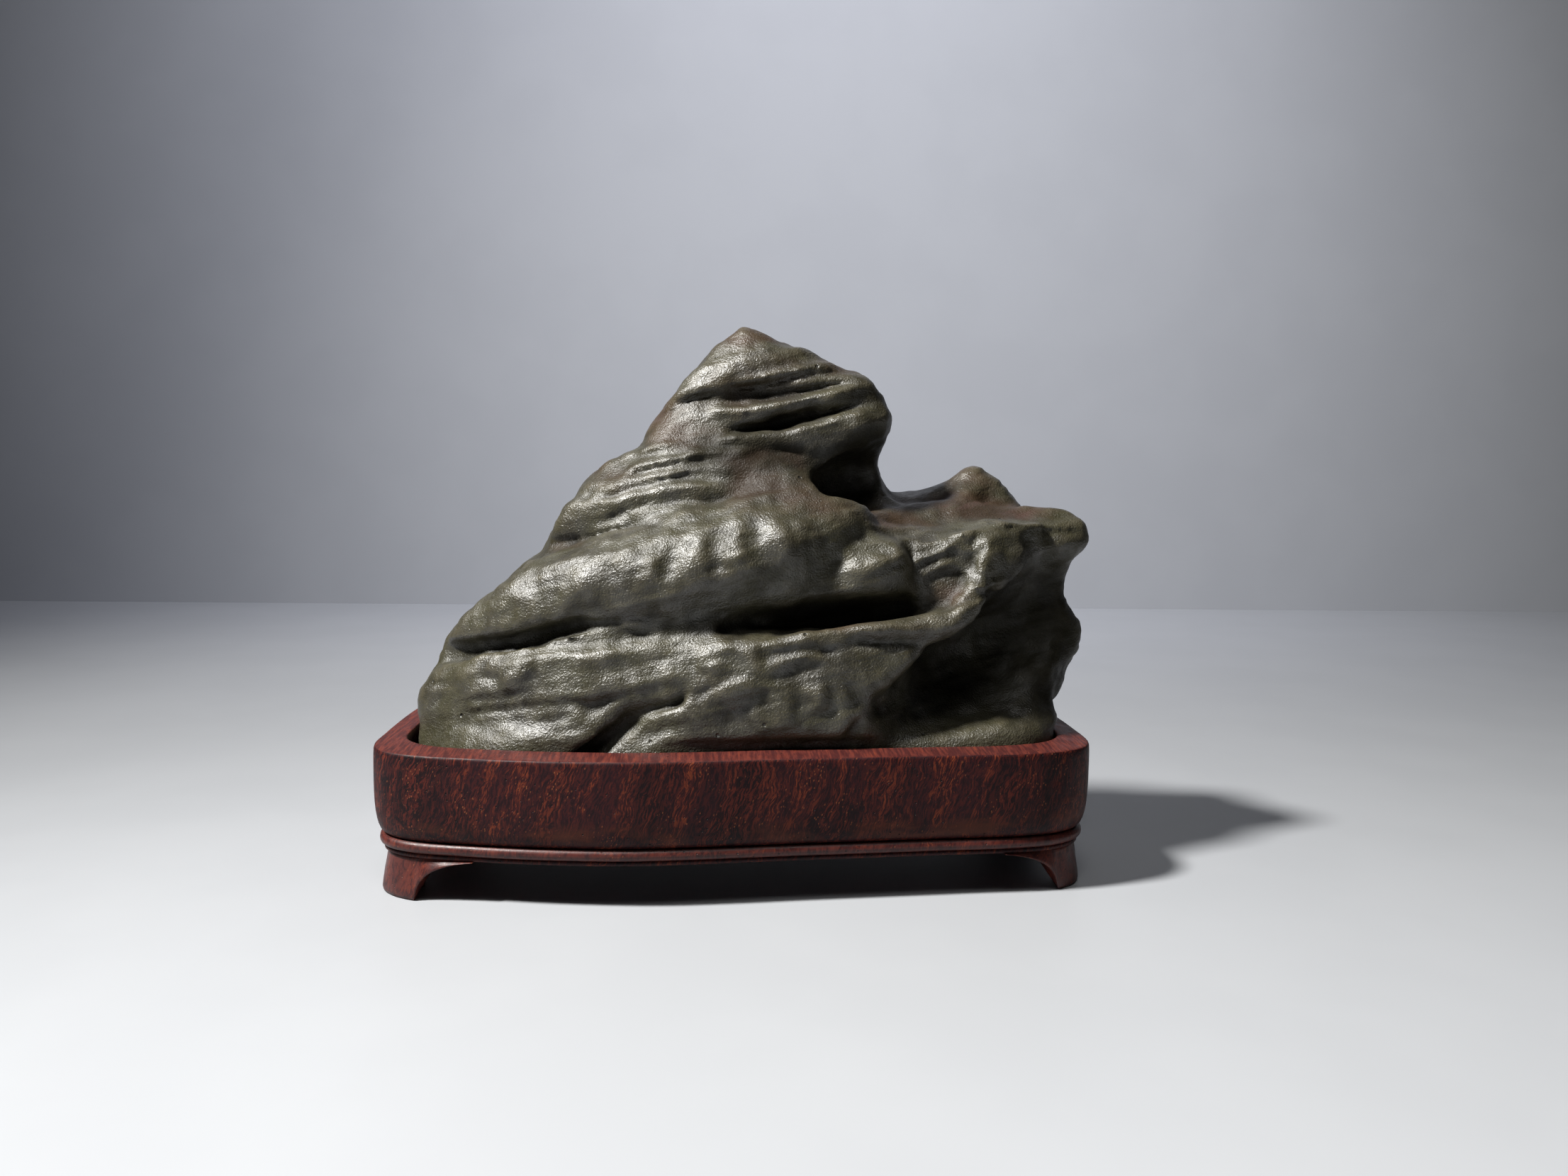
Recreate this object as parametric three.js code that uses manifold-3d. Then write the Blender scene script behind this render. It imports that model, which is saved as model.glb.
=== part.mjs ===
// A scholar's rock on its carved rosewood stand.
// Millimetres, Z up. X runs along the stand, Y from front (-) to back (+), the feet stand on Z = 0.
import * as THREE from 'three';
import { mergeVertices } from 'three/addons/utils/BufferGeometryUtils.js';
import ManifoldModule from 'manifold-3d';

// ---- sizes of the stand ----
const footHeight = 8.3;          // open height under the tray
const beadBottom = 8.3;          // underside of the tray and of its bead
const beadInset = 1.1;           // the bead's outermost line lies this far inside the face
const grooveInset = 2.3;         // quirk between bead and face
const rimHeight = 28.6;          // outer arris of the rim
const rimRise = 0.5;             // the rim slopes up this much towards the stone
const seatFloor = 14;            // floor of the recess the stone stands in
const footWall = 7.5;            // thickness of the foot brackets
const frontSpan = 62.6;          // half the opening between the feet, along X, at the floor
const frontReach = 12;           // how far each bracket grows into that opening at its top
const frontMiddle = 0.9;         // the opening lies this far right of the middle
const sideSpan = 16;             // the same along Y
const sideReach = 8;
const outlineStep = 2;           // curve points between two given points of a plan outline

// ---- sizes of the stone ----
const stoneGap = 0.3;            // clearance under the stone
const stoneSideGap = 0.6;        // clearance round its foot
const gridStep = 3.65;           // facet size of the stone
const gridCorner = [-74, -42, 8];
const gridFar = [80, 42, 117];
const gridShifts = [0, 0.4, 0.8, 1.2, 1.6, 2, 2.4, 2.8];
const slabHalfDepth = 22;        // half depth of the stone's core low down
const slabTaper = 0.155;         // how fast the core thins with height
const slabRound = 13;            // edge rounding of the core
const viewpoint = [-7, -254, 80]; // the side view is laid out as seen from here

// Plan of the stand at the top of its face, counter-clockwise from the left front.
const trayOutline = [
  [-72, -10], [-71.6, -21], [-69, -27.5], [-62.9, -31.8], [-52.8, -34.5], [-38.6, -37],
  [-22.3, -38.3], [-8.1, -37.5], [8.1, -35.8], [22.3, -34.5], [38.5, -33], [55.8, -31.5],
  [65.9, -28], [71.3, -21], [72.5, -8], [72.8, 4], [72, 16], [68, 26], [58.8, 31.5],
  [36.5, 34.5], [10.1, 36.5], [-15.2, 36], [-40.6, 34], [-57.8, 31.5], [-67, 27], [-71.5, 18],
  [-72.2, 4],
];

// Plan of the recess, point for point beside the tray outline.
const seatOutline = [
  [-66.6, -8], [-66, -17.5], [-63, -23], [-58, -26.4], [-49.5, -28.8], [-37, -30.8], [-22, -31.9],
  [-8, -31.3], [7, -29.7], [20, -28.8], [35.5, -27.2], [51.5, -25.9], [60.5, -23], [65.6, -17],
  [67, -7], [67.1, 3.5], [66.4, 13], [62.6, 21.4], [54, 25.8], [34, 28.2], [9.6, 29.8],
  [-14.4, 28.9], [-38.5, 27.6], [-54, 25.4], [-61.8, 21.4], [-66, 14.5], [-66.7, 3.5],
];

// Side-on outline of the stone's core, [x, z].
const coreOutline = [
  [-65, 8], [-66.5, 26], [-66.5, 35], [-62.6, 42], [-62.2, 47], [-56, 54], [-45.4, 63.2],
  [-41.6, 68], [-38.6, 72.4], [-34, 78.6], [-28, 84.6], [-21.8, 87.4], [-20.4, 91], [-17.5, 95],
  [-10.6, 102.6], [-5.4, 108.4], [-0.8, 112.4], [1.5, 113], [5.2, 111.4], [14.3, 108.9],
  [20.4, 105.6], [26.5, 103], [30.1, 98.9], [33, 94], [32.3, 90], [30.4, 86], [30.6, 80],
  [36, 75], [50, 75.5], [62, 74], [69, 73], [73, 69], [73, 62], [71.5, 58.5], [71.5, 53],
  [70, 47], [69, 40], [67.5, 33], [65.5, 26], [64, 8],
];

// The whole stone in side view, [x, z] at Y 0, as it shows from the viewpoint; nothing stands outside.
const sideView = [
  [-69, 8], [-68.5, 33], [-64.5, 39], [-62.5, 44.5], [-59, 51], [-48, 60.5], [-41.5, 66.5],
  [-38, 72.5], [-33, 79], [-27.5, 84.5], [-21.5, 87.5], [-20.5, 91], [-15.5, 97], [-10.5, 102.5],
  [-5, 109], [-1, 112.5], [1.5, 113], [8, 110.5], [14.5, 109], [20.5, 105.5], [26.5, 103],
  [30, 99], [33, 94.5], [31.5, 89.5], [30, 85], [31, 81], [33.5, 79.5], [40, 79.5], [45.5, 82],
  [49.5, 85], [54, 83], [61, 77], [64.5, 75.5], [68.5, 76], [74, 74], [77.5, 69], [74, 64.5],
  [72, 61], [71.5, 55.5], [76, 48.5], [75.5, 45], [72.5, 39], [71, 28], [71, 8],
];

// What is laid on the core or worn out of it, in this order. Each is a line of balls
// [x, y, z, radius]; `blend` is how softly it joins and `deep` stretches it front to back.
const forms = [
  // the back
  { blend: 4, line: [[-52, 7, 44, 7], [-36, 12, 50, 9], [-18, 14, 56, 9.5], [2, 14, 60, 9],
    [20, 13, 62, 8], [38, 12, 64, 7]] },
  { blend: 4, line: [[-55, 7, 26, 9], [-38, 15, 28, 11], [-18, 17, 30, 11], [0, 17, 28, 11]] },
  { blend: 4, line: [[10, 17, 26, 11], [28, 16, 30, 11], [46, 14, 33, 10], [59, 8, 32, 8]] },
  { blend: 4, line: [[-24, 6, 71, 6], [-10, 8, 77, 6.5], [4, 9, 83, 6.5], [17, 8, 88, 5.5]] },
  { blend: 3, line: [[40, 12, 54, 8], [54, 9, 56, 7]] },
  // lower left and lower middle
  { blend: 4, line: [[-56, -7, 35, 9], [-43, -15, 39, 10.5], [-28, -19, 41.5, 10.5],
    [-16, -20, 44, 8.5]] },
  { blend: 4, line: [[-57, -8, 24, 9], [-44, -18, 25, 11], [-32, -20.5, 27, 11],
    [-25, -21, 28, 10]] },
  { blend: 3, line: [[-17, -21, 29, 10.5], [-8, -21.5, 34, 10], [5, -22, 36, 9.5],
    [16, -21.5, 36, 9.5]] },
  { blend: 4, line: [[-14, -20, 22, 11.5], [2, -20, 24, 11.5], [18, -19, 24, 11]] },
  // the shelf under the crevice, its turned-up right end and the mound below
  { blend: 4, line: [[-12, -21, 44, 7], [-4, -23, 43.5, 8], [8, -23, 43.5, 8.4],
    [20, -22, 44, 8.2], [29, -20.5, 45.5, 7.6], [37, -19.5, 48, 6.2], [43, -19, 50.5, 5.2]] },
  { blend: 4, line: [[22, -21, 34, 8.5], [28, -20.5, 39, 8], [35, -19.5, 44, 7.2],
    [42, -19, 49.5, 5.6], [49, -17.5, 54.5, 5], [54, -15, 60, 4.8], [54.5, -13.5, 65, 4.8],
    [52, -12, 69, 4.4]] },
  { blend: 4, line: [[24, -20, 24, 8.5], [38, -19, 24, 9], [52, -17, 25, 9.5], [61, -11, 28, 8]] },
  // the broad slanting fold and the belly under its right end
  { blend: 3.5, line: [[-57, -8, 48.4, 4], [-50, -11, 51, 5.8], [-40, -14.2, 54.6, 8],
    [-28, -16, 58.8, 9.8], [-14, -17, 62.6, 10.4], [-2, -17, 65.6, 10.3], [9, -16.2, 67.8, 9.4],
    [18, -14.6, 69.4, 7.6], [21.5, -14, 69.8, 6.4]] },
  { blend: 3, line: [[-16, -15, 57, 6], [-4, -17.5, 57.5, 6.4], [8, -18, 58.8, 6.6],
    [20, -16.5, 60.5, 6.6], [28, -15.5, 61.3, 6.2], [31, -15, 61.5, 5.4]] },
  { blend: 2, line: [[19, -17, 62.6, 4.4], [24, -18.4, 64, 5], [29.6, -18.2, 65, 4.6]] },
  { blend: 5, line: [[-14, -4, 84, 6], [-2, -6, 82.5, 6.6], [5, -8.5, 78.5, 7],
    [12, -11, 74.5, 7], [19, -13, 71, 6.6]] },
  { blend: 4, line: [[28, -10, 66, 6], [38, -11, 65.5, 6], [48, -10, 66, 6],
    [58, -7, 67.6, 5.4], [66, -4, 68.6, 4.8], [71, -3, 69, 4]] },
  { blend: 4, line: [[32, 0, 69, 6.4], [44, 0, 69.6, 6.6], [56, 2, 69.5, 6]] },
  { blend: 4, line: [[34, 11, 72.6, 6.6], [46, 12, 73.4, 6.8], [58, 9, 71.5, 6]] },
  { blend: 4, line: [[36, -13, 60, 5], [42, -14, 59, 5]] },
  { blend: 3, line: [[37, -14, 64.4, 4], [42, -15, 65, 4.2], [47, -14.6, 65, 4]] },
  { blend: 2, line: [[50.6, -13, 67.5, 4.6], [51.6, -14, 64, 4.8]] },
  { blend: 1.4, line: [[63, 0, 72.4, 3.6], [66.5, -1, 73, 3.2], [70, -1.5, 72.6, 3.2]] },
  { blend: 1.4, line: [[67, -2, 69.5, 4], [72.6, -3, 70, 3]] },
  { blend: 3, line: [[47.5, 12, 77, 5], [53, 11, 79.4, 5.2], [58.5, 10, 76.4, 5]] },
  { blend: 2, line: [[53, 10.5, 81.6, 3.5], [50.5, 6, 77.5, 3.2], [46.5, 1, 73.6, 3]] },
  { blend: 4, line: [[66, 3, 51, 7.5], [69.8, 1, 48.8, 6], [66.5, 1, 40, 6.4]] },
  { blend: 3, line: [[23.5, 4, 91, 6], [25, 5.5, 84, 5], [28, 7, 77.5, 5.4]] },
  { blend: 4, line: [[-9, 1, 98, 6.5], [2, 1.5, 102, 7.5], [14, 1, 101, 6.5], [24, 1, 98, 5.5]] },
  { blend: 2.5, line: [[-3.6, 1, 106.4, 3.2], [0.8, 1, 110.4, 2.9], [5.4, 1, 108.4, 3.2]] },
  { blend: 1.6, line: [[-12, -3, 92, 2.6], [-4, -5, 93.4, 2.4], [5, -6.4, 94.6, 2.4],
    [13, -6.6, 96.6, 2.3], [22, -5.8, 98.8, 2.2], [28, -2.5, 99.4, 2.6]] },
  { blend: 2, line: [[-14, -4, 87.5, 2.6], [-2, -6.4, 87, 2.6], [11, -7.8, 88.6, 2.8],
    [21, -7.4, 91.2, 3.1], [27.4, -4.6, 93.4, 3.4], [30, 0, 93, 3.6]] },
  { blend: 3, line: [[-25, -1.5, 81, 4.6], [-15, -4.6, 82.6, 5.5], [-5, -6, 84, 5.3]] },
  { blend: 3, line: [[-29, -3.5, 76.4, 5], [-16, -7.4, 78.8, 5.9], [-5, -7.8, 80.6, 5.8]] },
  { blend: 3, line: [[-34, -4.5, 72, 5.2], [-20, -9, 74, 5.9], [-8, -9.8, 76, 6]] },
  { blend: 2.5, line: [[-25.6, -1, 82, 2], [-22, -4, 83.8, 2.2], [-17, -7, 85.4, 2],
    [-8, -8.8, 87, 1.6]] },
  { blend: 2.5, line: [[-27.6, -3, 79, 2.2], [-23, -7, 80.8, 2.3], [-14.5, -10.2, 82.4, 2.2],
    [-4.5, -10.8, 84, 1.6]] },
  { blend: 2.5, line: [[-30.6, -4.5, 75.4, 2.3], [-25, -9.4, 77, 2.4], [-16, -12, 78.8, 2.4],
    [-6, -12.4, 80, 1.8]] },
  { blend: 2.5, line: [[-33.4, -5, 72.2, 2.2], [-27, -10.8, 73.8, 2.4], [-18.5, -13.4, 75, 2.2],
    [-9, -14, 77, 2.2], [-2, -13, 79, 1.6]] },
  { blend: 3, line: [[-18, -18.5, 51, 5.4], [-10, -20.4, 51, 5.2], [-3, -21, 49.8, 4]] },
  { cut: true, deep: 2, blend: 2.4, line: [[-2, -26, 52.2, 0.9], [4, -25, 53.2, 2.1],
    [11, -24, 54, 2.9], [20, -23, 54.8, 3.3], [28, -21.5, 55.8, 3.5], [33, -20, 56.4, 3]] },
  { cut: true, deep: 1.43, blend: 5, line: [[29, -28, 36.5, 3], [37, -25, 39.5, 6],
    [45, -21, 43, 9], [53, -18.5, 47.5, 10.6], [61, -17, 53, 10], [67, -16, 59, 8]] },
  { cut: true, deep: 1.25, blend: 2.5, line: [[17.5, -13, 79.5, 2.6], [19.5, -10, 79.6, 4.6],
    [22.5, -6, 80, 6.2], [27, -6.5, 81, 6.4], [33, -7, 81.4, 5.4]] },
  { cut: true, deep: 1.25, blend: 1.8, line: [[-11.5, -7.2, 96.8, 1.2], [-6, -8.2, 97.5, 2],
    [2, -8.6, 98, 2.4], [8, -8.6, 98.9, 2.2], [14, -8.2, 100, 1.7], [20, -7.4, 101.4, 1]] },
  { cut: true, deep: 2, blend: 0.8, line: [[-1, -9.8, 91, 0.7], [5, -9.2, 92, 2],
    [11, -9, 93.6, 2.2], [16.5, -8.8, 95, 2.1], [21.5, -8.2, 96.3, 1.5], [26, -7, 97.6, 0.7]] },
  { cut: true, blend: 1, line: [[-63, -10, 44.2, 2.6], [-52, -18.6, 46.4, 2.6],
    [-44, -22.6, 48, 2.4], [-36, -26, 49.4, 1.8], [-28, -28.4, 50.8, 1.2]] },
  { cut: true, deep: 1.43, blend: 1, line: [[-32, -33, 27, 2.2], [-26, -32, 31.8, 2.4],
    [-20, -31.4, 35.2, 2.4], [-14.6, -30.8, 37.6, 2.3], [-11.4, -29.8, 40.6, 2.1]] },
  { cut: true, deep: 1.43, blend: 3, line: [[-24, -33.4, 28.6, 3.2], [-17, -33, 32.4, 3.4],
    [-10, -33, 36, 2.6]] },
  { cut: true, deep: 1.67, blend: 3, line: [[-6, 26, 44, 3], [10, 26, 46, 4.5], [26, 25, 48, 4],
    [38, 24, 52, 3]] },
  { cut: true, deep: 1.25, blend: 3, line: [[-34, 20, 63, 3.5], [-18, 22, 69, 4.5],
    [-4, 21, 74, 3.5]] },
];

const colours = { stone: 0x4b4c3c, wood: 0x4a1c17 };

// ---- curves ----
function between(a, b, c, d, t) {
  return a.map((_, i) => 0.5 * (2 * b[i] + (c[i] - a[i]) * t
    + (2 * a[i] - 5 * b[i] + 4 * c[i] - d[i]) * t * t
    + (3 * b[i] - a[i] - 3 * c[i] + d[i]) * t * t * t));
}

function smoothLoop(points, step) {
  const n = points.length;
  const out = [];
  for (let i = 0; i < n; i += 1) {
    const four = [points[(i + n - 1) % n], points[i], points[(i + 1) % n], points[(i + 2) % n]];
    for (let j = 0; j < step; j += 1) out.push(between(...four, j / step));
  }
  return out;
}

function smoothLine(points, step) {
  const n = points.length;
  const past = (a, b) => a.map((v, i) => 2 * v - b[i]);
  const all = [past(points[0], points[1]), ...points, past(points[n - 1], points[n - 2])];
  const out = [];
  for (let i = 1; i < n; i += 1) {
    for (let j = 0; j < step; j += 1) out.push(between(all[i - 1], all[i], all[i + 1], all[i + 2], j / step));
  }
  out.push(points[n - 1]);
  return out;
}

// Signed distance to a closed outline, negative inside.
function outlineDistance(u, v, loop) {
  let near = Infinity;
  let side = 1;
  for (let i = 0, j = loop.length - 1; i < loop.length; j = i, i += 1) {
    const [au, av] = loop[i];
    const [bu, bv] = loop[j];
    const eu = bu - au;
    const ev = bv - av;
    const wu = u - au;
    const wv = v - av;
    const t = Math.min(1, Math.max(0, (wu * eu + wv * ev) / (eu * eu + ev * ev)));
    near = Math.min(near, (wu - eu * t) ** 2 + (wv - ev * t) ** 2);
    const above = v >= av;
    const below = v < bv;
    const left = eu * wv > ev * wu;
    if ((above && below && left) || (!above && !below && !left)) side = -side;
  }
  return side * Math.sqrt(near);
}

// ---- the stone as a field: negative inside ----
const softMin = (a, b, k) => Math.min(a, b) - (Math.max(k - Math.abs(a - b), 0) / k) ** 2 * k / 4;
const softMax = (a, b, k) => Math.max(a, b) + (Math.max(k - Math.abs(a - b), 0) / k) ** 2 * k / 4;
const clamp = (v, lo, hi) => Math.min(hi, Math.max(lo, v));

const coreLoop = smoothLoop(coreOutline, 3);
const sideLoop = smoothLoop(sideView, 2);
const seatLoop = smoothLoop(seatOutline, outlineStep);
const shaped = forms.map((form) => {
  const line = smoothLine(form.line, 3);
  const reach = Math.max(...line.map((p) => p[3])) + form.blend + 7;
  const deep = form.deep ?? 1;
  const low = [0, 1, 2].map((i) => Math.min(...line.map((p) => p[i])) - reach * (i === 1 ? deep : 1));
  const high = [0, 1, 2].map((i) => Math.max(...line.map((p) => p[i])) + reach * (i === 1 ? deep : 1));
  return { cut: form.cut ?? false, blend: form.blend, deep, line, low, high };
});

function lineDistance(x, y, z, line, deep) {
  let near = Infinity;
  for (let i = 1; i < line.length; i += 1) {
    const [ax, ay, az, ar] = line[i - 1];
    const [bx, by, bz, br] = line[i];
    const vx = bx - ax;
    const vy = (by - ay) / deep;
    const vz = bz - az;
    const px = x - ax;
    const py = (y - ay) / deep;
    const pz = z - az;
    const t = clamp((px * vx + py * vy + pz * vz) / (vx * vx + vy * vy + vz * vz), 0, 1);
    near = Math.min(near, Math.hypot(px - t * vx, py - t * vy, pz - t * vz) - ar - t * (br - ar));
  }
  return near;
}

function stoneField(x, y, z) {
  const inside = -outlineDistance(x, z, coreLoop);
  let depth = clamp(slabHalfDepth - slabTaper * (z - 25), 8.5, slabHalfDepth);
  depth *= 1 - 0.12 * clamp((x - 34) / 20, 0, 1);
  depth *= 1 - 0.22 * clamp((-x - 30) / 30, 0, 1);
  const round = Math.min(depth, slabRound);
  const lean = 1.5 + 0.02 * (z - 30);
  const off = Math.max(Math.abs(y - lean) - (depth - round), 0);
  let f = Math.hypot(Math.max(round - inside, 0), off) - round;
  for (const s of shaped) {
    if (x < s.low[0] || y < s.low[1] || z < s.low[2]) continue;
    if (x > s.high[0] || y > s.high[1] || z > s.high[2]) continue;
    const d = lineDistance(x, y, z, s.line, s.deep);
    f = s.cut ? softMax(f, -d, s.blend) : softMin(f, d, s.blend);
  }
  // nothing stands outside the side view
  if (f > -9 && f < 6) {
    const nearer = -viewpoint[1] / (y - viewpoint[1]);
    const u = viewpoint[0] + (x - viewpoint[0]) * nearer;
    const v = viewpoint[2] + (z - viewpoint[2]) * nearer;
    f = softMax(f, outlineDistance(u, v, sideLoop), 1.8);
  }
  // the foot is dressed to drop into the recess
  const above = Math.max(z - rimHeight - 2, 0);
  const seat = outlineDistance(x, y, seatLoop) + stoneSideGap - above * 2;
  f = softMax(f, seat, 1.5);
  return softMax(f, seatFloor + stoneGap - z, 1.5);
}

// Move a point along the field's slope onto the surface, by `most` at the furthest.
function settle(p, most) {
  const f = stoneField(...p);
  const slope = [0, 1, 2].map((m) => {
    const q = [...p];
    q[m] += 0.2;
    return (stoneField(...q) - f) / 0.2;
  });
  const steep = Math.max(slope[0] ** 2 + slope[1] ** 2 + slope[2] ** 2, 0.25);
  const move = clamp(f / steep, -most, most);
  for (let m = 0; m < 3; m += 1) p[m] -= move * slope[m];
}

// Even out the spacing: each point goes half way to the middle of its neighbours.
function relax(points, triangles) {
  const sum = points.map(() => [0, 0, 0, 0]);
  for (let i = 0; i < triangles.length; i += 3) {
    for (let j = 0; j < 3; j += 1) {
      const other = points[triangles[i + (j + 1) % 3]];
      const s = sum[triangles[i + j]];
      for (let m = 0; m < 3; m += 1) s[m] += other[m];
      s[3] += 1;
    }
  }
  points.forEach((p, i) => {
    for (let m = 0; m < 3; m += 1) p[m] += 0.5 * (sum[i][m] / sum[i][3] - p[m]);
  });
}

// True when every edge of the skin lies between exactly two facets.
function isClean(triangles) {
  const seen = new Map();
  for (let i = 0; i < triangles.length; i += 3) {
    for (let j = 0; j < 3; j += 1) {
      const a = triangles[i + j];
      const b = triangles[i + (j + 1) % 3];
      const key = Math.min(a, b) * 1e5 + Math.max(a, b);
      seen.set(key, (seen.get(key) ?? 0) + 1);
    }
  }
  return [...seen.values()].every((n) => n === 2);
}

// Skin the field with one point per grid cell it crosses.
function skinField(step, low) {
  const count = low.map((v, m) => Math.ceil((gridFar[m] - v) / step) + 1);
  const at = (i, j, k) => (i * count[1] + j) * count[2] + k;
  const value = new Float32Array(count[0] * count[1] * count[2]);
  for (let i = 0; i < count[0]; i += 1) {
    for (let j = 0; j < count[1]; j += 1) {
      for (let k = 0; k < count[2]; k += 1) {
        value[at(i, j, k)] = stoneField(low[0] + i * step, low[1] + j * step, low[2] + k * step);
      }
    }
  }
  const corners = [];
  for (let c = 0; c < 8; c += 1) corners.push([c & 1, (c >> 1) & 1, (c >> 2) & 1]);
  const edges = [];
  for (let a = 0; a < 8; a += 1) {
    for (let b = a + 1; b < 8; b += 1) {
      if (corners[a].reduce((s, v, i) => s + Math.abs(v - corners[b][i]), 0) === 1) edges.push([a, b]);
    }
  }
  const points = [];
  const pointOf = new Int32Array(value.length).fill(-1);
  for (let i = 0; i < count[0] - 1; i += 1) {
    for (let j = 0; j < count[1] - 1; j += 1) {
      for (let k = 0; k < count[2] - 1; k += 1) {
        const v = corners.map(([a, b, c]) => value[at(i + a, j + b, k + c)]);
        const crossed = edges.filter(([a, b]) => (v[a] < 0) !== (v[b] < 0));
        if (!crossed.length) continue;
        const sum = [0, 0, 0];
        for (const [a, b] of crossed) {
          const t = v[a] / (v[a] - v[b]);
          for (let m = 0; m < 3; m += 1) sum[m] += corners[a][m] + t * (corners[b][m] - corners[a][m]);
        }
        pointOf[at(i, j, k)] = points.length;
        points.push([i, j, k].map((n, m) => low[m] + (n + sum[m] / crossed.length) * step));
      }
    }
  }
  const triangles = [];
  const quad = (a, b, c, d, flip) => {
    const near = (p, q) => Math.hypot(...points[p].map((n, m) => n - points[q][m]));
    const loop = flip ? [a, d, c, b] : [a, b, c, d];
    if (near(a, c) < near(b, d)) triangles.push(loop[0], loop[1], loop[2], loop[0], loop[2], loop[3]);
    else triangles.push(loop[0], loop[1], loop[3], loop[1], loop[2], loop[3]);
  };
  for (let i = 1; i < count[0] - 1; i += 1) {
    for (let j = 1; j < count[1] - 1; j += 1) {
      for (let k = 1; k < count[2] - 1; k += 1) {
        const here = value[at(i, j, k)] < 0;
        const cell = (a, b, c) => pointOf[at(i - a, j - b, k - c)];
        if (here !== value[at(i + 1, j, k)] < 0) {
          quad(cell(0, 1, 1), cell(0, 0, 1), cell(0, 0, 0), cell(0, 1, 0), !here);
        }
        if (here !== value[at(i, j + 1, k)] < 0) {
          quad(cell(1, 0, 1), cell(0, 0, 1), cell(0, 0, 0), cell(1, 0, 0), here);
        }
        if (here !== value[at(i, j, k + 1)] < 0) {
          quad(cell(1, 1, 0), cell(0, 1, 0), cell(0, 0, 0), cell(1, 0, 0), !here);
        }
      }
    }
  }
  return { points, triangles };
}

// Shift the grid until the skin is clean, then settle its points on the stone's surface.
function stoneGeometry() {
  let skin = null;
  for (const along of gridShifts) {
    for (const across of gridShifts) {
      if (skin) break;
      const tried = skinField(gridStep, [gridCorner[0] - along, gridCorner[1] - across, gridCorner[2]]);
      if (isClean(tried.triangles)) skin = tried;
    }
  }
  for (let pass = 0; pass < 5; pass += 1) {
    if (pass < 3) relax(skin.points, skin.triangles);
    for (const p of skin.points) settle(p, 0.7);
  }
  const geometry = new THREE.BufferGeometry();
  geometry.setAttribute('position', new THREE.Float32BufferAttribute(skin.points.flat(), 3));
  geometry.setIndex(skin.triangles);
  return geometry;
}

// ---- the stand: rings of points round the tray outline ----
const trayLoop = smoothLoop(trayOutline, outlineStep);

function inset(loop, distance) {
  const n = loop.length;
  return loop.map(([x, y], i) => {
    const before = loop[(i + n - 1) % n];
    const after = loop[(i + 1) % n];
    const tx = after[0] - before[0];
    const ty = after[1] - before[1];
    const size = Math.hypot(tx, ty);
    return [x - ty / size * distance, y + tx / size * distance];
  });
}

const ringAt = (loop, z) => loop.map(([x, y]) => [x, y, z]);

// Close a stack of rings: `capped` fans the two ends shut, otherwise the last joins the first.
function stackRings(rings, capped) {
  const n = rings[0].length;
  const points = rings.flat();
  const index = [];
  const last = capped ? rings.length - 1 : rings.length;
  for (let r = 0; r < last; r += 1) {
    const up = ((r + 1) % rings.length) * n;
    for (let i = 0; i < n; i += 1) {
      const next = (i + 1) % n;
      index.push(r * n + i, r * n + next, up + next, r * n + i, up + next, up + i);
    }
  }
  if (capped) {
    const centre = (ring) => [0, 1, 2].map((m) => ring.reduce((s, p) => s + p[m], 0) / n);
    const first = points.push(centre(rings[0])) - 1;
    const end = points.push(centre(rings[rings.length - 1])) - 1;
    const top = (rings.length - 1) * n;
    for (let i = 0; i < n; i += 1) {
      const next = (i + 1) % n;
      index.push(first, next, i, end, top + i, top + next);
    }
  }
  const geometry = new THREE.BufferGeometry();
  geometry.setAttribute('position', new THREE.Float32BufferAttribute(points.flat(), 3));
  geometry.setIndex(index);
  return geometry;
}

function trayGeometry() {
  const seat = smoothLoop(seatOutline, outlineStep);
  const z = beadBottom;
  return stackRings([
    ringAt(inset(trayLoop, beadInset + 1.2), z),
    ringAt(inset(trayLoop, beadInset + 0.3), z + 0.6),
    ringAt(inset(trayLoop, beadInset), z + 1.5),
    ringAt(inset(trayLoop, beadInset + 0.4), z + 2.5),
    ringAt(inset(trayLoop, grooveInset - 0.1), z + 2.9),
    ringAt(inset(trayLoop, grooveInset), z + 3.4),
    ringAt(inset(trayLoop, 1.2), z + 4.4),
    ringAt(inset(trayLoop, 0.45), z + 6.4),
    ringAt(inset(trayLoop, 0.08), z + 9),
    ringAt(trayLoop, z + 12),
    ringAt(trayLoop, rimHeight - 1.6),
    ringAt(inset(trayLoop, 0.3), rimHeight - 0.4),
    ringAt(inset(trayLoop, 0.9), rimHeight),
    ringAt(seat, rimHeight + rimRise),
    ringAt(seat, seatFloor),
  ], true);
}

function footRing() {
  return stackRings([
    ringAt(inset(trayLoop, 1.4), 0),
    ringAt(inset(trayLoop, 1.7), 3.5),
    ringAt(inset(trayLoop, 2.6), footHeight + 0.4),
    ringAt(inset(trayLoop, footWall + 2.2), footHeight + 0.4),
    ringAt(inset(trayLoop, footWall + 1.4), 0),
  ], false);
}

// One opening between two feet: wide at the floor, curving in under the tray.
function archShape(halfWidth, reach) {
  const shape = new THREE.Shape();
  const top = halfWidth - reach;
  shape.moveTo(-halfWidth, -1);
  shape.lineTo(-halfWidth, 0.8);
  shape.quadraticCurveTo(-halfWidth + 0.6, footHeight - 1.2, -top, footHeight - 0.2);
  shape.lineTo(-top, footHeight + 1);
  shape.lineTo(top, footHeight + 1);
  shape.lineTo(top, footHeight - 0.2);
  shape.quadraticCurveTo(halfWidth - 0.6, footHeight - 1.2, halfWidth, 0.8);
  shape.lineTo(halfWidth, -1);
  return shape;
}

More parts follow.
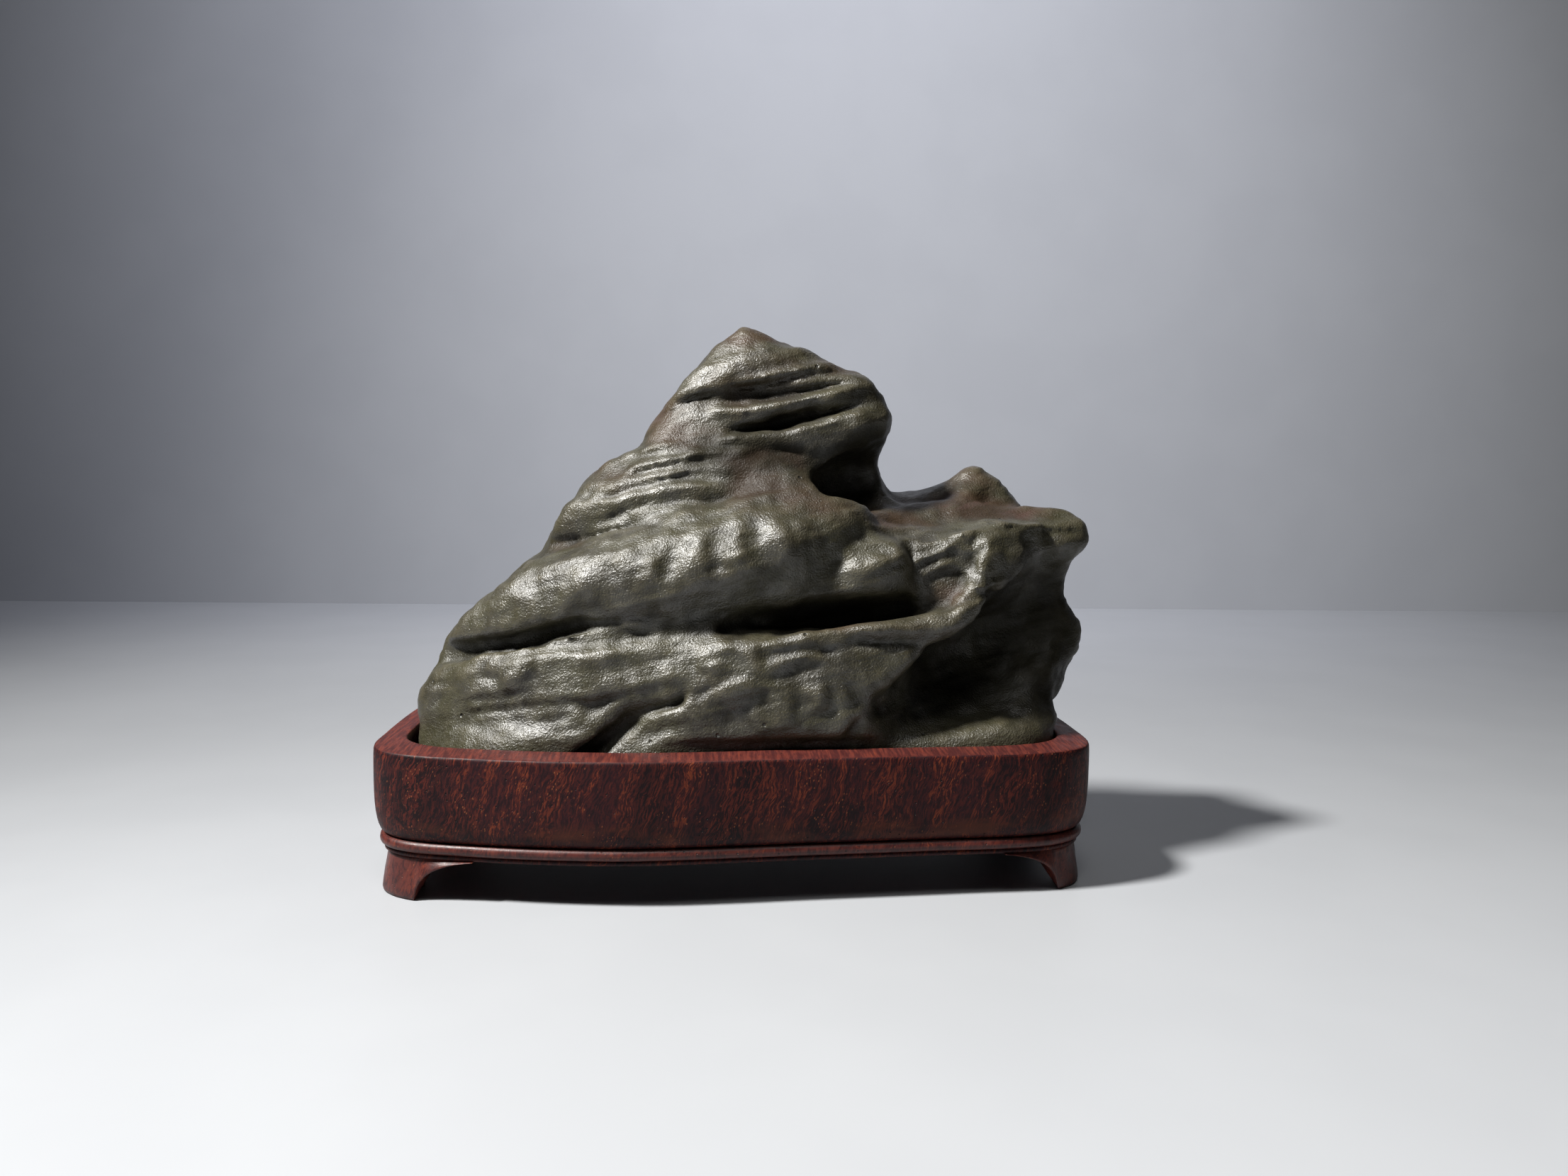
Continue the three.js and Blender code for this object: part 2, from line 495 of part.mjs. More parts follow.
function archCutter(halfWidth, reach, along, shift) {
  const cutter = new THREE.ExtrudeGeometry(archShape(halfWidth, reach), {
    depth: 160, bevelEnabled: false, curveSegments: 6,
  });
  cutter.translate(0, 0, -80);
  cutter.rotateX(Math.PI / 2);
  if (along === 'y') cutter.rotateZ(Math.PI / 2);
  cutter.translate(along === 'y' ? 0 : shift, along === 'y' ? shift : 0, 0);
  return cutter;
}

// ---- joining ----
const kernel = await ManifoldModule();
kernel.setup();

function toSolid(geometry) {
  const bare = new THREE.BufferGeometry();
  bare.setAttribute('position', geometry.getAttribute('position'));
  bare.setIndex(geometry.getIndex());
  const merged = mergeVertices(bare, 1e-4);
  return new kernel.Manifold(new kernel.Mesh({
    numProp: 3,
    vertProperties: Float32Array.from(merged.getAttribute('position').array),
    triVerts: Uint32Array.from(merged.getIndex().array),
  }));
}

function toGeometry(solid) {
  const mesh = solid.getMesh();
  const geometry = new THREE.BufferGeometry();
  const xyz = [];
  for (let i = 0; i < mesh.numVert; i += 1) {
    xyz.push(...mesh.vertProperties.slice(i * mesh.numProp, i * mesh.numProp + 3));
  }
  geometry.setAttribute('position', new THREE.Float32BufferAttribute(xyz, 3));
  geometry.setIndex([...mesh.triVerts]);
  geometry.computeVertexNormals();
  return geometry;
}

function standGeometry() {
  const feet = toSolid(footRing())
    .subtract(toSolid(archCutter(frontSpan, frontReach, 'x', frontMiddle)))
    .subtract(toSolid(archCutter(sideSpan, sideReach, 'y', -1)));
  return toGeometry(toSolid(trayGeometry()).add(feet));
}

const group = new THREE.Group();

function addPart(name, geometry, colour, roughness) {
  const material = new THREE.MeshStandardMaterial({ color: colour, roughness, flatShading: true });
  const mesh = new THREE.Mesh(geometry, material);
  mesh.name = name;
  group.add(mesh);
}

addPart('stone', toGeometry(toSolid(stoneGeometry())), colours.stone, 0.4);
addPart('stand', standGeometry(), colours.wood, 0.35);

// The origin is the middle of the whole piece, on the surface it stands on.
const middle = new THREE.Box3().setFromObject(group).getCenter(new THREE.Vector3());
for (const mesh of group.children) mesh.geometry.translate(-middle.x, -middle.y, 0);

export default group;
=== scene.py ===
import math
import bpy
import numpy as np
from mathutils import Matrix, Vector


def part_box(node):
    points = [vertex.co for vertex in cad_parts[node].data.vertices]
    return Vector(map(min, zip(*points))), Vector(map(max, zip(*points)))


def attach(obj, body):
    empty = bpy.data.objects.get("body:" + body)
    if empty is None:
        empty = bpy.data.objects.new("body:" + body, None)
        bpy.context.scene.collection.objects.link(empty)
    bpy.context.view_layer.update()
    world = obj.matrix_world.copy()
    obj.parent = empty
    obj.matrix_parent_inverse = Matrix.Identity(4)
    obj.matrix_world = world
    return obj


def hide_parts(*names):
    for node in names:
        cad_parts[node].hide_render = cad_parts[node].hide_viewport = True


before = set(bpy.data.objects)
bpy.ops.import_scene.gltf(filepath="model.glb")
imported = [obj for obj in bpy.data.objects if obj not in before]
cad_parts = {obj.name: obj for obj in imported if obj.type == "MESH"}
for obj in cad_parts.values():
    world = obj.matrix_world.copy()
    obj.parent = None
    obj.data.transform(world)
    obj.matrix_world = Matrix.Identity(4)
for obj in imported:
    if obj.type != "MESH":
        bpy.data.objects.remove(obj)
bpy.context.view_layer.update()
mm = 0.001
eye = (-7, -254, 80)     # where the camera stands, in mm
planSteps = 16           # points made between two points of a plan

# Plan of the stand at the top of its face and of the recess, in mm, counter-clockwise from the
# left front. The two lists match point for point.
trayPlan = [
    (-72, -10), (-71.6, -21), (-69, -27.5), (-62.9, -31.8), (-52.8, -34.5), (-38.6, -37),
    (-22.3, -38.3), (-8.1, -37.5), (8.1, -35.8), (22.3, -34.5), (38.5, -33), (55.8, -31.5),
    (65.9, -28), (71.3, -21), (72.5, -8), (72.8, 4), (72, 16), (68, 26), (58.8, 31.5),
    (36.5, 34.5), (10.1, 36.5), (-15.2, 36), (-40.6, 34), (-57.8, 31.5), (-67, 27), (-71.5, 18),
    (-72.2, 4)]
seatPlan = [
    (-66.6, -8), (-66, -17.5), (-63, -23), (-58, -26.4), (-49.5, -28.8), (-37, -30.8),
    (-22, -31.9), (-8, -31.3), (7, -29.7), (20, -28.8), (35.5, -27.2), (51.5, -25.9), (60.5, -23),
    (65.6, -17), (67, -7), (67.1, 3.5), (66.4, 13), (62.6, 21.4), (54, 25.8), (34, 28.2),
    (9.6, 29.8), (-14.4, 28.9), (-38.5, 27.6), (-54, 25.4), (-61.8, 21.4), (-66, 14.5),
    (-66.7, 3.5)]


def between(a, b, c, d, t):
    return 0.5 * (2 * b + (c - a) * t + (2 * a - 5 * b + 4 * c - d) * t * t
                  + (3 * b - a - 3 * c + d) * t ** 3)


def smoothLoop(points, steps):
    p = np.array(points, float)
    n = len(p)
    return np.array([between(p[i - 1], p[i], p[(i + 1) % n], p[(i + 2) % n], j / steps)
                     for i in range(n) for j in range(steps)])


def smoothLine(points, steps):
    p = np.array(points, float)
    if len(p) < 3:
        return p
    p = np.vstack([2 * p[0] - p[1], p, 2 * p[-1] - p[-2]])
    line = [between(p[i - 1], p[i], p[i + 1], p[i + 2], j / steps)
            for i in range(1, len(p) - 2) for j in range(steps)]
    return np.array(line + [p[-2]])


standLow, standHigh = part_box("stand")
trayLoop = smoothLoop(trayPlan, planSteps)
shift = np.array([
    (standLow.x + standHigh.x) / 2 / mm - (trayLoop[:, 0].min() + trayLoop[:, 0].max()) / 2,
    (standLow.y + standHigh.y) / 2 / mm - (trayLoop[:, 1].min() + trayLoop[:, 1].max()) / 2,
    standLow.z / mm])
print("shift of the plans, mm:", shift.round(3).tolist())


def meshFrom(name, verts, faces, attributes=None):
    mesh = bpy.data.meshes.new(name)
    points = (np.asarray(verts, float) + shift) * mm
    mesh.from_pydata(points.tolist(), [], [list(face) for face in faces])
    mesh.update()
    mesh.polygons.foreach_set("use_smooth", [True] * len(mesh.polygons))
    for key, values in (attributes or {}).items():
        layer = mesh.attributes.new(key, "FLOAT", "POINT")
        layer.data.foreach_set("value", np.asarray(values, np.float32))
    piece = bpy.data.objects.new(name, mesh)
    bpy.context.scene.collection.objects.link(piece)
    return piece


def latticeNoise(points, size, seed):
    span = 32                                  # cells before the pattern repeats
    table = np.random.RandomState(seed).rand(span, span, span) * 2 - 1
    p = np.asarray(points, float) / size
    cell = np.floor(p).astype(int)
    t = p - cell
    t = t * t * t * (t * (t * 6 - 15) + 10)
    total = np.zeros(len(p))
    for dx in (0, 1):
        for dy in (0, 1):
            for dz in (0, 1):
                weight = ((t[:, 0] if dx else 1 - t[:, 0]) * (t[:, 1] if dy else 1 - t[:, 1])
                          * (t[:, 2] if dz else 1 - t[:, 2]))
                total += weight * table[(cell[:, 0] + dx) % span, (cell[:, 1] + dy) % span,
                                        (cell[:, 2] + dz) % span]
    return total


# stone
rock = {
    "gridStep": 0.72,   # mm between samples of the shape
    "low": (-73, -41, 12),
    "high": (81, 41, 117),
    "halfDepth": 22,       # half depth of the core low down
    "thinnest": 8.5,       # the least that it thins to
    "taper": 0.155,        # how fast the core thins with height
    "round": 13,           # edge rounding of the core
    "floor": 14.3,         # the foot of the stone stands here
    "sideGap": 0.6,        # room between the stone and its recess
    "rimHeight": 28.6,     # top of the stand
    "seatSoft": 1.5,       # rounding where the foot is cut off
    "trimGap": 0.05,       # how far the stone may pass the side view
    "trimSoft": 1.8,       # rounding where it is trimmed to that view
    "plane": -16,          # Y of the upright sheet that the carving is gathered on
    "carving": 1.35,       # how strongly the lines are cut
    "carvingStep": 0.4,    # mm between samples of the carving
    "fadeLength": 3.0,     # mm over which a line dies out at its ends
    "fadeLeast": 0.35,     # what is left of it there
    # surface unevenness: height and size of each kind, first round, then along the layers
    "swell": [(0.6, 9), (0.38, 4.6), (0.22, 2.4)],
    "layerSwell": [(0.26, 1.5), (0.12, 0.9)],
    "swelling": 0.85,      # how strongly all of it shows
}

# outline of the core from the front, (x, z)
rockOutline = [
    (-65, 8), (-66.5, 26), (-66.5, 35), (-62.6, 42), (-62.2, 47), (-56, 54), (-45.4, 63.2),
    (-41.6, 68), (-38.6, 72.4), (-34, 78.6), (-28, 84.6), (-21.8, 87.4), (-20.4, 91), (-17.5, 95),
    (-10.6, 102.6), (-5.4, 108.4), (-0.8, 112.4), (1.5, 113), (5.2, 111.4), (14.3, 108.9),
    (20.4, 105.6), (26.5, 103), (30.1, 98.9), (33, 94), (32.3, 90), (30.4, 86), (30.6, 80),
    (36, 75), (50, 75.5), (62, 74), (69, 73), (73, 69), (73, 62), (71.5, 58.5), (71.5, 53),
    (70, 47), (69, 40), (67.5, 33), (65.5, 26), (64, 8)]

# outline of the whole stone as it shows from the eye, (x, z) at Y 0; nothing passes it
sideView = [
    (-69, 8), (-68.5, 33), (-64.5, 39), (-62.5, 44.5), (-59, 51), (-48, 60.5), (-41.5, 66.5),
    (-38, 72.5), (-33, 79), (-27.5, 84.5), (-21.5, 87.5), (-20.5, 91), (-15.5, 97),
    (-10.5, 102.5), (-5, 109), (-1, 112.5), (1.5, 113), (8, 110.5), (14.5, 109), (20.5, 105.5),
    (26.5, 103), (30, 99), (33, 94.5), (31.5, 89.5), (30, 85), (31, 81), (33.5, 79.5), (40, 79.5),
    (45.5, 82), (49.5, 85), (54, 83), (61, 77), (64.5, 75.5), (68.5, 76), (74, 74), (77.5, 69),
    (74, 64.5), (72, 61), (71.5, 55.5), (76, 48.5), (75.5, 45), (72.5, 39), (71, 28), (71, 8)]

# What is added to the core or cut out of it, in this order: how softly it joins in mm, how much
# depth counts (below 1 it is drawn out front to back), and a line of balls (x, y, z, radius).
rockForms = [
    # the back
    ("add", 4, 1, [(-52, 7, 44, 7), (-36, 12, 50, 9), (-18, 14, 56, 9.5), (2, 14, 60, 9),
        (20, 13, 62, 8), (38, 12, 64, 7)]),
    ("add", 4, 1, [(-55, 7, 26, 9), (-38, 15, 28, 11), (-18, 17, 30, 11), (0, 17, 28, 11)]),
    ("add", 4, 1, [(10, 17, 26, 11), (28, 16, 30, 11), (46, 14, 33, 10), (59, 8, 32, 8)]),
    ("add", 4, 1, [(-24, 6, 71, 6), (-10, 8, 77, 6.5), (4, 9, 83, 6.5), (17, 8, 88, 5.5)]),
    ("add", 3, 1, [(40, 12, 54, 8), (54, 9, 56, 7)]),
    # lower left and lower middle
    ("add", 4, 1, [(-56, -7, 35, 9), (-43, -15, 39, 10.5), (-28, -19, 41.5, 10.5),
        (-16, -20, 44, 8.5)]),
    ("add", 4, 1, [(-57, -8, 24, 9), (-44, -18, 25, 11), (-32, -20.5, 27, 11),
        (-25, -21, 28, 10)]),
    ("add", 3, 1, [(-17, -21, 29, 10.5), (-8, -21.5, 34, 10), (5, -22, 36, 9.5),
        (16, -21.5, 36, 9.5)]),
    ("add", 4, 1, [(-14, -20, 22, 11.5), (2, -20, 24, 11.5), (18, -19, 24, 11)]),
    # the shelf under the crevice, its turned-up right end and the mound below
    ("add", 4, 1, [(-12, -21, 44, 7), (-4, -23, 43.5, 8), (8, -23, 43.5, 8.4), (20, -22, 44, 8.2),
        (29, -20.5, 45.5, 7.6), (37, -19.5, 48, 6.2), (43, -19, 50.5, 5.2)]),
    ("add", 4, 1, [(22, -21, 34, 8.5), (28, -20.5, 39, 8), (35, -19.5, 44, 7.2),
        (42, -19, 49.5, 5.6), (49, -17.5, 54.5, 5), (54, -15, 60, 4.8), (54.5, -13.5, 65, 4.8),
        (52, -12, 69, 4.4)]),
    ("add", 4, 1, [(24, -20, 24, 8.5), (38, -19, 24, 9), (52, -17, 25, 9.5), (61, -11, 28, 8)]),
    # the broad slanting fold and the belly under its right end
    ("add", 3.5, 1, [(-57, -8, 48.4, 4), (-50, -11, 51, 5.8), (-40, -14.6, 54.2, 8.1),
        (-28, -16.8, 57.8, 9.9), (-14, -18, 61.2, 10.6), (-2, -18, 64.4, 10.3),
        (9, -17, 66.8, 9.5), (18, -14.8, 69, 7.7), (21.5, -14, 69.8, 6.4)]),
    ("add", 4, 1, [(-40, -12, 57, 6.6), (-26, -13.4, 61.8, 7.8), (-12, -14, 66.2, 8.2),
        (2, -13.6, 69.2, 7.9), (12, -12.6, 71.2, 6.6)]),
    ("add", 3, 1, [(-16, -15, 57, 6), (-4, -17.5, 57.5, 6.4), (8, -18, 58.8, 6.6),
        (20, -17, 60.2, 6.6), (28, -16.8, 60.8, 6.2), (31.4, -16.4, 61.2, 5.6)]),
    ("add", 2, 1, [(19, -17, 62.6, 4.4), (24, -18.4, 64, 5), (29.6, -18.2, 65, 4.6)]),
    ("add", 5, 1, [(-14, -4, 84, 6), (-2, -6, 82.5, 6.6), (5, -8.5, 78.5, 7), (12, -11, 74.5, 7),
        (19, -13, 71, 6.6)]),
    # the plateau with its horn and hump
    ("add", 4, 1, [(28, -10, 66, 6), (38, -11, 65.5, 6), (48, -10, 66, 6), (58, -7, 67.6, 5.4),
        (66, -4, 68.6, 4.8), (71, -3, 69, 4)]),
    ("add", 4, 1, [(32, 0, 69, 6.4), (44, 0, 69.6, 6.6), (56, 2, 69.5, 6)]),
    ("add", 4, 1, [(34, 11, 72.6, 6.6), (46, 12, 73.4, 6.8), (58, 9, 71.5, 6)]),
    ("add", 4, 1, [(36, -13, 60, 5), (42, -14, 59, 5)]),
    ("add", 3, 1, [(37, -14, 64.4, 4), (42, -15, 65, 4.2), (47, -14.6, 65, 4)]),
    ("add", 2, 1, [(50.6, -13, 67.5, 4.6), (51.6, -14, 64, 4.8)]),
    ("add", 1.4, 1, [(63, 0, 72.4, 3.6), (66.5, -1, 73, 3.2), (70, -1.5, 72.6, 3.2)]),
    ("add", 1.4, 1, [(67, -2, 69.5, 4), (72.6, -3, 70, 3)]),
    ("add", 3, 1, [(47.5, 12, 77, 5), (53, 11, 79.4, 5.2), (58.5, 10, 76.4, 5)]),
    ("add", 2, 1, [(53, 10.5, 81.6, 3.5), (50.5, 6, 77.5, 3.2), (46.5, 1, 73.6, 3)]),
    ("add", 4, 1, [(66, 3, 51, 7.5), (69.8, 1, 48.8, 6), (66.5, 1, 40, 6.4)]),
    # the far wall of the hollow under the cap
    ("add", 3, 1, [(23.5, 4, 91, 6), (25, 5.5, 84, 5), (28, 7, 77.5, 5.4)]),
    # the leaning cap and its two ridges
    ("add", 4, 1, [(-9, 1, 98, 6.5), (2, 1.5, 102, 7.5), (14, 1, 101, 6.5), (24, 1, 98, 5.5)]),
    ("add", 2.5, 1, [(-3.6, 1, 106.4, 3.2), (0.8, 1, 110.4, 2.9), (5.4, 1, 108.4, 3.2)]),
    ("add", 1.6, 1, [(-12, -3, 92, 2.6), (-4, -5, 93.4, 2.4), (5, -6.4, 94.6, 2.4),
        (13, -6.6, 96.6, 2.3), (22, -5.8, 98.8, 2.2), (28, -2.5, 99.4, 2.6)]),
    ("add", 2, 1, [(-14, -4, 87.5, 2.6), (-2, -6.4, 87, 2.6), (11, -7.8, 88.6, 2.8),
        (21, -7.4, 91.2, 3.1), (27.4, -4.6, 93.4, 3.4), (30, 0, 93, 3.6)]),
    # four narrow folds on the left shoulder, on a common back
    ("add", 3, 1, [(-25, -1.5, 81, 4.6), (-15, -4.6, 82.6, 5.5), (-5, -6, 84, 5.3)]),
    ("add", 3, 1, [(-29, -3.5, 76.4, 5), (-16, -7.4, 78.8, 5.9), (-5, -7.8, 80.6, 5.8)]),
    ("add", 3, 1, [(-34, -4.5, 72, 5.2), (-20, -9, 74, 5.9), (-8, -9.8, 76, 6)]),
    ("add", 1.2, 1, [(-25.6, -1, 82, 2), (-22, -4, 83.8, 2.2), (-17, -7, 85.4, 2),
        (-8, -8.8, 87, 1.6)]),
    ("add", 1.2, 1, [(-27.6, -3, 79, 2.2), (-23, -7, 80.8, 2.3), (-14.5, -10.2, 82.4, 2.2),
        (-4.5, -10.8, 84, 1.6)]),
    ("add", 1.2, 1, [(-30.6, -4.5, 75.4, 2.3), (-25, -9.4, 77, 2.4), (-16, -12, 78.8, 2.4),
        (-6, -12.4, 80, 1.8)]),
    ("add", 1.2, 1, [(-33.4, -5, 72.2, 2.2), (-27, -10.8, 73.8, 2.4), (-18.5, -13.4, 75, 2.2),
        (-9, -14, 77, 2.2), (-2, -13, 79, 1.6)]),
    # worn away: the crevice, the deep bowl at the right, the hollow under the cap
    ("add", 3, 1, [(-18, -18.5, 51, 5.4), (-10, -20.4, 51, 5.2), (-3, -21, 49.8, 4)]),
    ("cut", 2.4, 0.5, [(-3, -26, 52.2, 0.9), (4, -25, 53.2, 2.0), (11, -24, 53.9, 2.6),
        (20, -23, 54.6, 2.8), (28, -21.5, 55.3, 2.5), (33, -20, 56, 2)]),
    ("cut", 5, 0.7, [(29, -28, 36.5, 3), (37, -25, 39.5, 6), (45, -21, 43, 9),
        (53, -18.5, 47.5, 10.6), (61, -17, 53, 10), (67, -16, 59, 8)]),
    ("cut", 2.5, 0.8, [(17.5, -13, 79.5, 2.6), (19.5, -10, 79.6, 4.6), (22.5, -6, 80, 6.2),
        (27, -6.5, 81, 6.4), (33, -7, 81.4, 5.4)]),
    # worn away: grooves on the cap, creases low on the left, a small hole above the rim
    ("cut", 1.8, 0.8, [(-11.5, -7.2, 96.8, 1.2), (-6, -8.2, 97.5, 2), (2, -8.6, 98, 2.4),
        (8, -8.6, 98.9, 2.2), (14, -8.2, 100, 1.7), (20, -7.4, 101.4, 1)]),
    ("cut", 1, 0.5, [(-2, -9.8, 90.8, 0.7), (3, -9.4, 91.5, 1.5), (8.5, -9.2, 92.8, 1.7),
        (14, -9, 94.2, 1.2), (19, -8.6, 95.2, 0.8), (24, -7.8, 96.4, 0.6)]),
    ("cut", 0.9, 1, [(-62, -8, 44.2, 2), (-55.6, -13.2, 45.6, 2.4), (-50, -17, 46.8, 2.4),
        (-44.8, -19.8, 48, 2.3), (-38, -22.6, 50.2, 2), (-31.5, -24.6, 51.8, 1.6),
        (-24, -26, 52.6, 0.9)]),
    ("cut", 0.8, 1, [(-31, -29, 27, 1.9), (-27, -29, 30.2, 1.8), (-22.6, -28.8, 33.6, 1.7),
        (-19.4, -28.8, 35.8, 1.3), (-15.9, -29, 37, 1.1), (-12, -29.4, 38, 1),
        (-10.9, -29.8, 40.4, 0.6)]),
    ("cut", 3, 0.7, [(-25, -33.4, 28.6, 2.2), (-18, -33.2, 32.8, 2), (-13, -33.2, 35.2, 1.4)]),
    ("cut", 1, 0.6, [(20.5, -31, 30.2, 1.6), (22.5, -31, 34, 1.4)]),
    # worn away at the back
    ("cut", 3, 0.6, [(-6, 26, 44, 3), (10, 26, 46, 4.5), (26, 25, 48, 4), (38, 24, 52, 3)]),
    ("cut", 3, 0.8, [(-34, 20, 63, 3.5), (-18, 22, 69, 4.5), (-4, 21, 74, 3.5)]),
    # sharp arrises
    ("add", 1.5, 1, [(-3, -28.4, 47.8, 2), (6, -28.4, 48.4, 2.2), (13, -28.2, 49.6, 2.2),
        (24, -26.4, 51.4, 2.2), (32.5, -25, 52, 2.2), (39, -23.8, 52.6, 2.4),
        (42.5, -22.6, 54, 2.4), (46, -20.6, 58, 2.6), (48, -19, 63, 2.6),
        (50.5, -17, 67.6, 2.6)]),
    ("add", 1.2, 1, [(33, -16, 68.6, 1.6), (38, -17, 67.6, 1.6), (43, -17, 68.6, 1.7),
        (48, -16.6, 69.4, 1.6), (54, -15, 70, 1.6), (62, -10, 71, 1.6)]),
]

